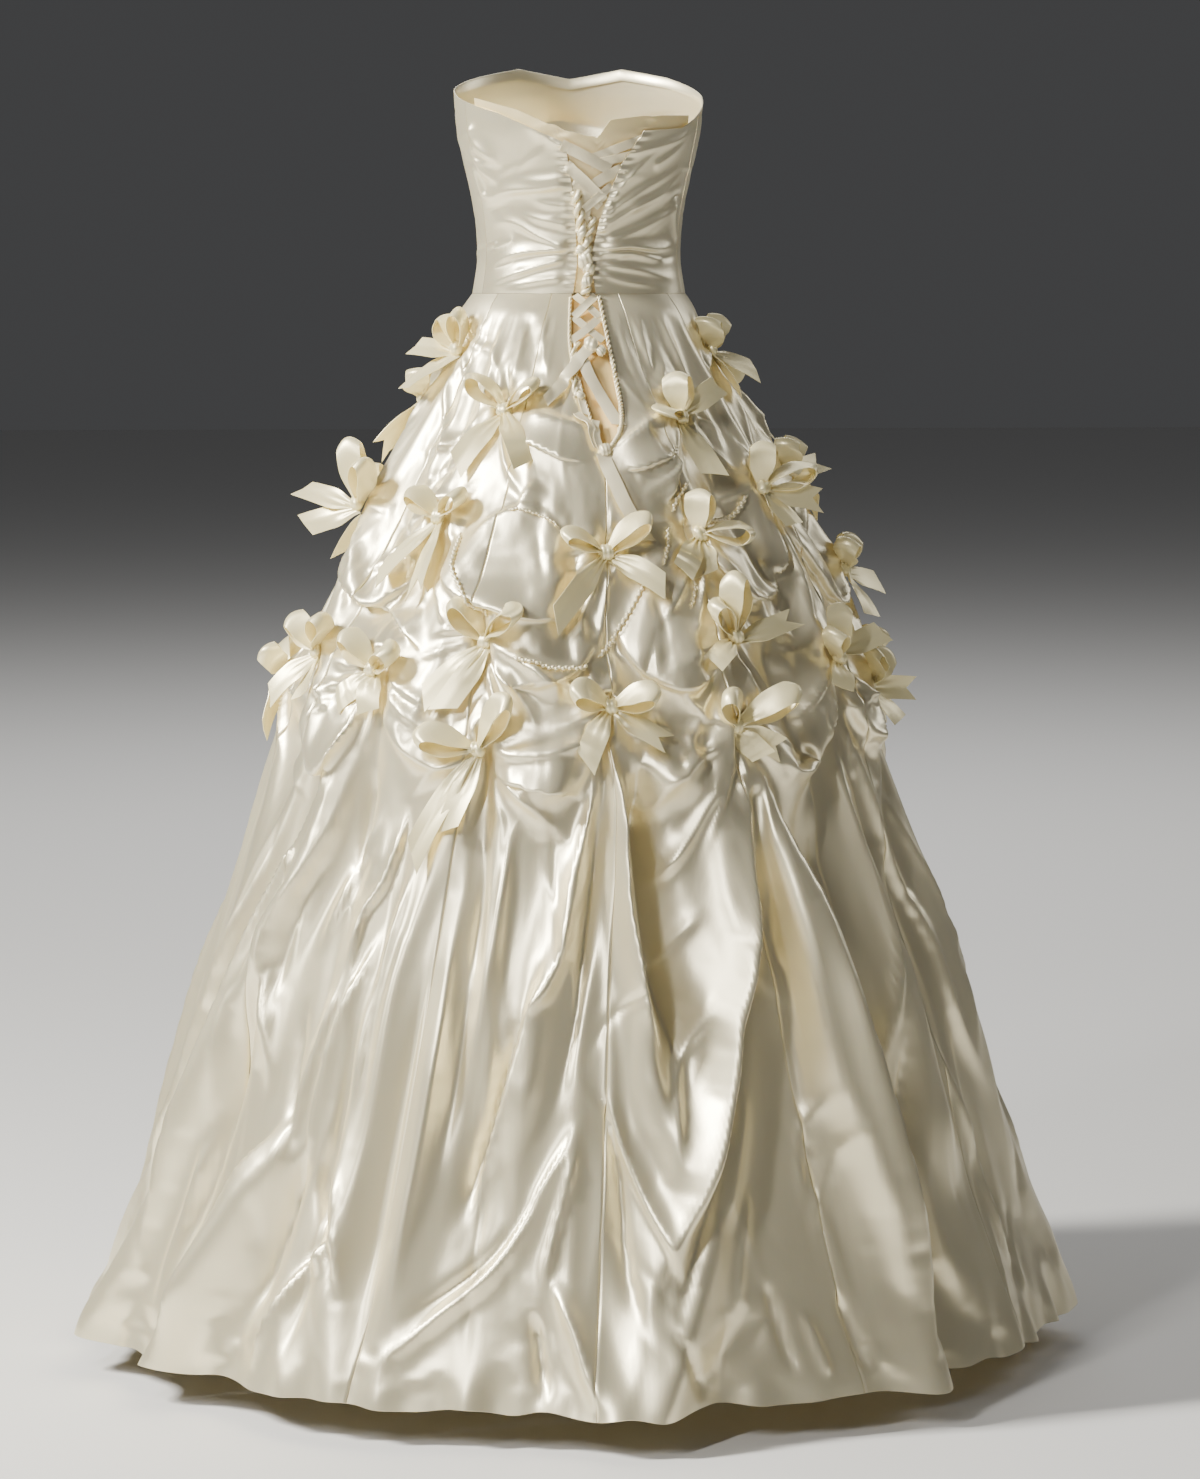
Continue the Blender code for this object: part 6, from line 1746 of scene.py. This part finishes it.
def make_lacing(material, back):
    """The lace and its two ties."""
    rng = np.random.default_rng(LACE_SEED)
    make_lace(material, back, rng)
    for name in TIES:
        make_tie(name, material, back, rng)


def lay_gathers(ribbons, back, path, girth):
    """A gathered line: small puckers of cloth strung close together, swaying a little from side to side."""
    line = smooth_line(path, GATHER_STATIONS)
    points, normals = back.at(line[:, 0], line[:, 1])
    steps = np.linalg.norm(np.diff(points, axis=0), axis=1)
    place = np.concatenate([[0.0], np.cumsum(steps)])
    beat = pi * place / GATHER_PITCH
    aside = unit(np.cross(normals, unit(np.gradient(points, axis=0))))
    sway = GATHER_SWAY * girth * np.sin(beat)
    centres = points + normals * GATHER_LIFT * girth + aside * sway[:, None]
    end, thinnest = GATHER_END
    ends = np.clip(np.minimum(place, place[-1] - place) / end, thinnest, 1.0)
    girths = girth * ends * (GATHER_NECK + GATHER_SWELL * np.abs(np.sin(beat)))
    ribbons.tube(centres, girths, GATHER_SIDES)


def make_cords(material, back):
    """The gathered lines of the puffs and the corded edges of the slit, as one piece."""
    cords = Ribbons()
    for path, girth in GATHERED_EDGES:
        lay_gathers(cords, back, path, girth)
    for path, coil, strand, pitch in CORDS:
        length = len(path) * CORD_STRETCH
        lift = coil + CORD_LIFT * strand
        lay_twist(cords, back, path, coil, strand, pitch * length, lift, int(CORD_STATIONS * length))
    cords.piece("tie_cords", material, "lacing")


# ------------------------------------------------------------------ stage, light and camera
CAMERA_TURN = 180 - 4.5  # the photo looks at the back, 4.5 degrees to one side
CAMERA_DISTANCE = 5.0
CAMERA_HEIGHT = 0.02
CAMERA_ASIDE = 0.022
CAMERA_PITCH = 5.57
CAMERA_LENS = 116.2
SENSOR = 36.0
FLOOR_REACH = 30.0
FLOOR_COLOUR = (0.86, 0.85, 0.83)
FLOOR_ROUGHNESS = 0.7
WORLD_LOOK = {"Color": (0.96, 0.97, 1.0, 1.0), "Strength": 0.06}
LIGHTS = (
    # name, place and target as the photo sees them, breadth and height, power, colour
    ("key", (-3.0, -1.1, 1.95), (0.0, 0.0, -0.40), (0.5, 1.0), 350, (1.0, 0.98, 0.92)),
    ("strip", (-1.7, -3.0, 1.7), (0.0, 0.0, -0.4), (0.20, 1.6), 75, (1.0, 0.98, 0.95)),
    ("rim", (2.6, 1.4, 1.2), (0.0, 0.0, -0.3), (0.8, 1.6), 16, (1.0, 1.0, 1.0)),
    ("backdrop", (0.0, 4.6, 3.4), (0.0, 6.0, -1.1), (4.0, 2.0), 160, (1.0, 1.0, 1.0)),
)


def photo_place(x, y, z):
    """A place given as the photo sees it, with -Y towards the camera, in the gown's frame."""
    a = radians(CAMERA_TURN)
    return Vector((x * cos(a) - y * sin(a), x * sin(a) + y * cos(a), z))


def make_camera():
    """The photo's camera."""
    data = bpy.data.cameras.new("photo_camera")
    data.lens = CAMERA_LENS
    data.sensor_width = SENSOR
    data.sensor_height = SENSOR
    data.sensor_fit = "AUTO"
    camera = add_object("photo_camera", data)
    camera.location = photo_place(CAMERA_ASIDE, -CAMERA_DISTANCE, CAMERA_HEIGHT)
    pitch = radians(CAMERA_PITCH)
    camera.rotation_euler = photo_place(0.0, cos(pitch), -sin(pitch)).to_track_quat("-Z", "Y").to_euler()
    bpy.context.scene.camera = camera


def area_light(name, place, target, size, power, colour):
    """One soft rectangular lamp."""
    data = bpy.data.lights.new(name, "AREA")
    data.shape = "RECTANGLE"
    data.size, data.size_y = size
    data.energy = power
    data.color = colour
    light = add_object(name, data)
    light.location = photo_place(*place)
    light.rotation_euler = (photo_place(*target) - light.location).to_track_quat("-Z", "Y").to_euler()


def make_floor():
    """A plain pale floor a little below the hem."""
    far = FLOOR_REACH
    mesh = bpy.data.meshes.new("floor")
    corners = [(-far, -far, FLOOR_Z), (far, -far, FLOOR_Z), (far, far, FLOOR_Z), (-far, far, FLOOR_Z)]
    mesh.from_pydata(corners, [], [(0, 1, 2, 3)])
    mesh.materials.append(plain("pale_floor", FLOOR_COLOUR, FLOOR_ROUGHNESS))
    add_object("floor", mesh)


def make_studio():
    """The soft light all round, and the lamps."""
    world = bpy.data.worlds.new("studio")
    bpy.context.scene.world = world
    world.use_nodes = True
    set_sockets(world.node_tree.nodes["Background"], WORLD_LOOK)
    for light in LIGHTS:
        area_light(*light)


# ------------------------------------------------------------------ the whole gown
def tree_of(items):
    """A search tree over the faces of several pieces."""
    points = []
    faces = []
    for item in items:
        start = len(points)
        points += [vertex.co.copy() for vertex in item.data.vertices]
        faces += [[start + corner for corner in polygon.vertices] for polygon in item.data.polygons]
    return BVHTree.FromPolygons(points, faces)


def main():
    clear_startup()
    drape = Drape()
    cloth = satin("ivory_satin")
    gores = make_skirt(cloth, drape.surface)
    make_panels(cloth)
    # the modesty panel's colour is its own cream with painted shade from the lacing added in
    make_modesty(satin("modesty_satin_with_painted_shade"))
    # the underlay's deep orange colour is painted shade for the inside of the slit
    make_underlay(satin("painted_shade_lining"))
    make_bows(tree_of(gores), satin("ribbon_satin"))
    back = BackForm(drape.surface)
    lace = satin("lacing_satin")
    make_lacing(lace, back)
    make_cords(lace, back)
    make_camera()
    make_floor()
    make_studio()


main()
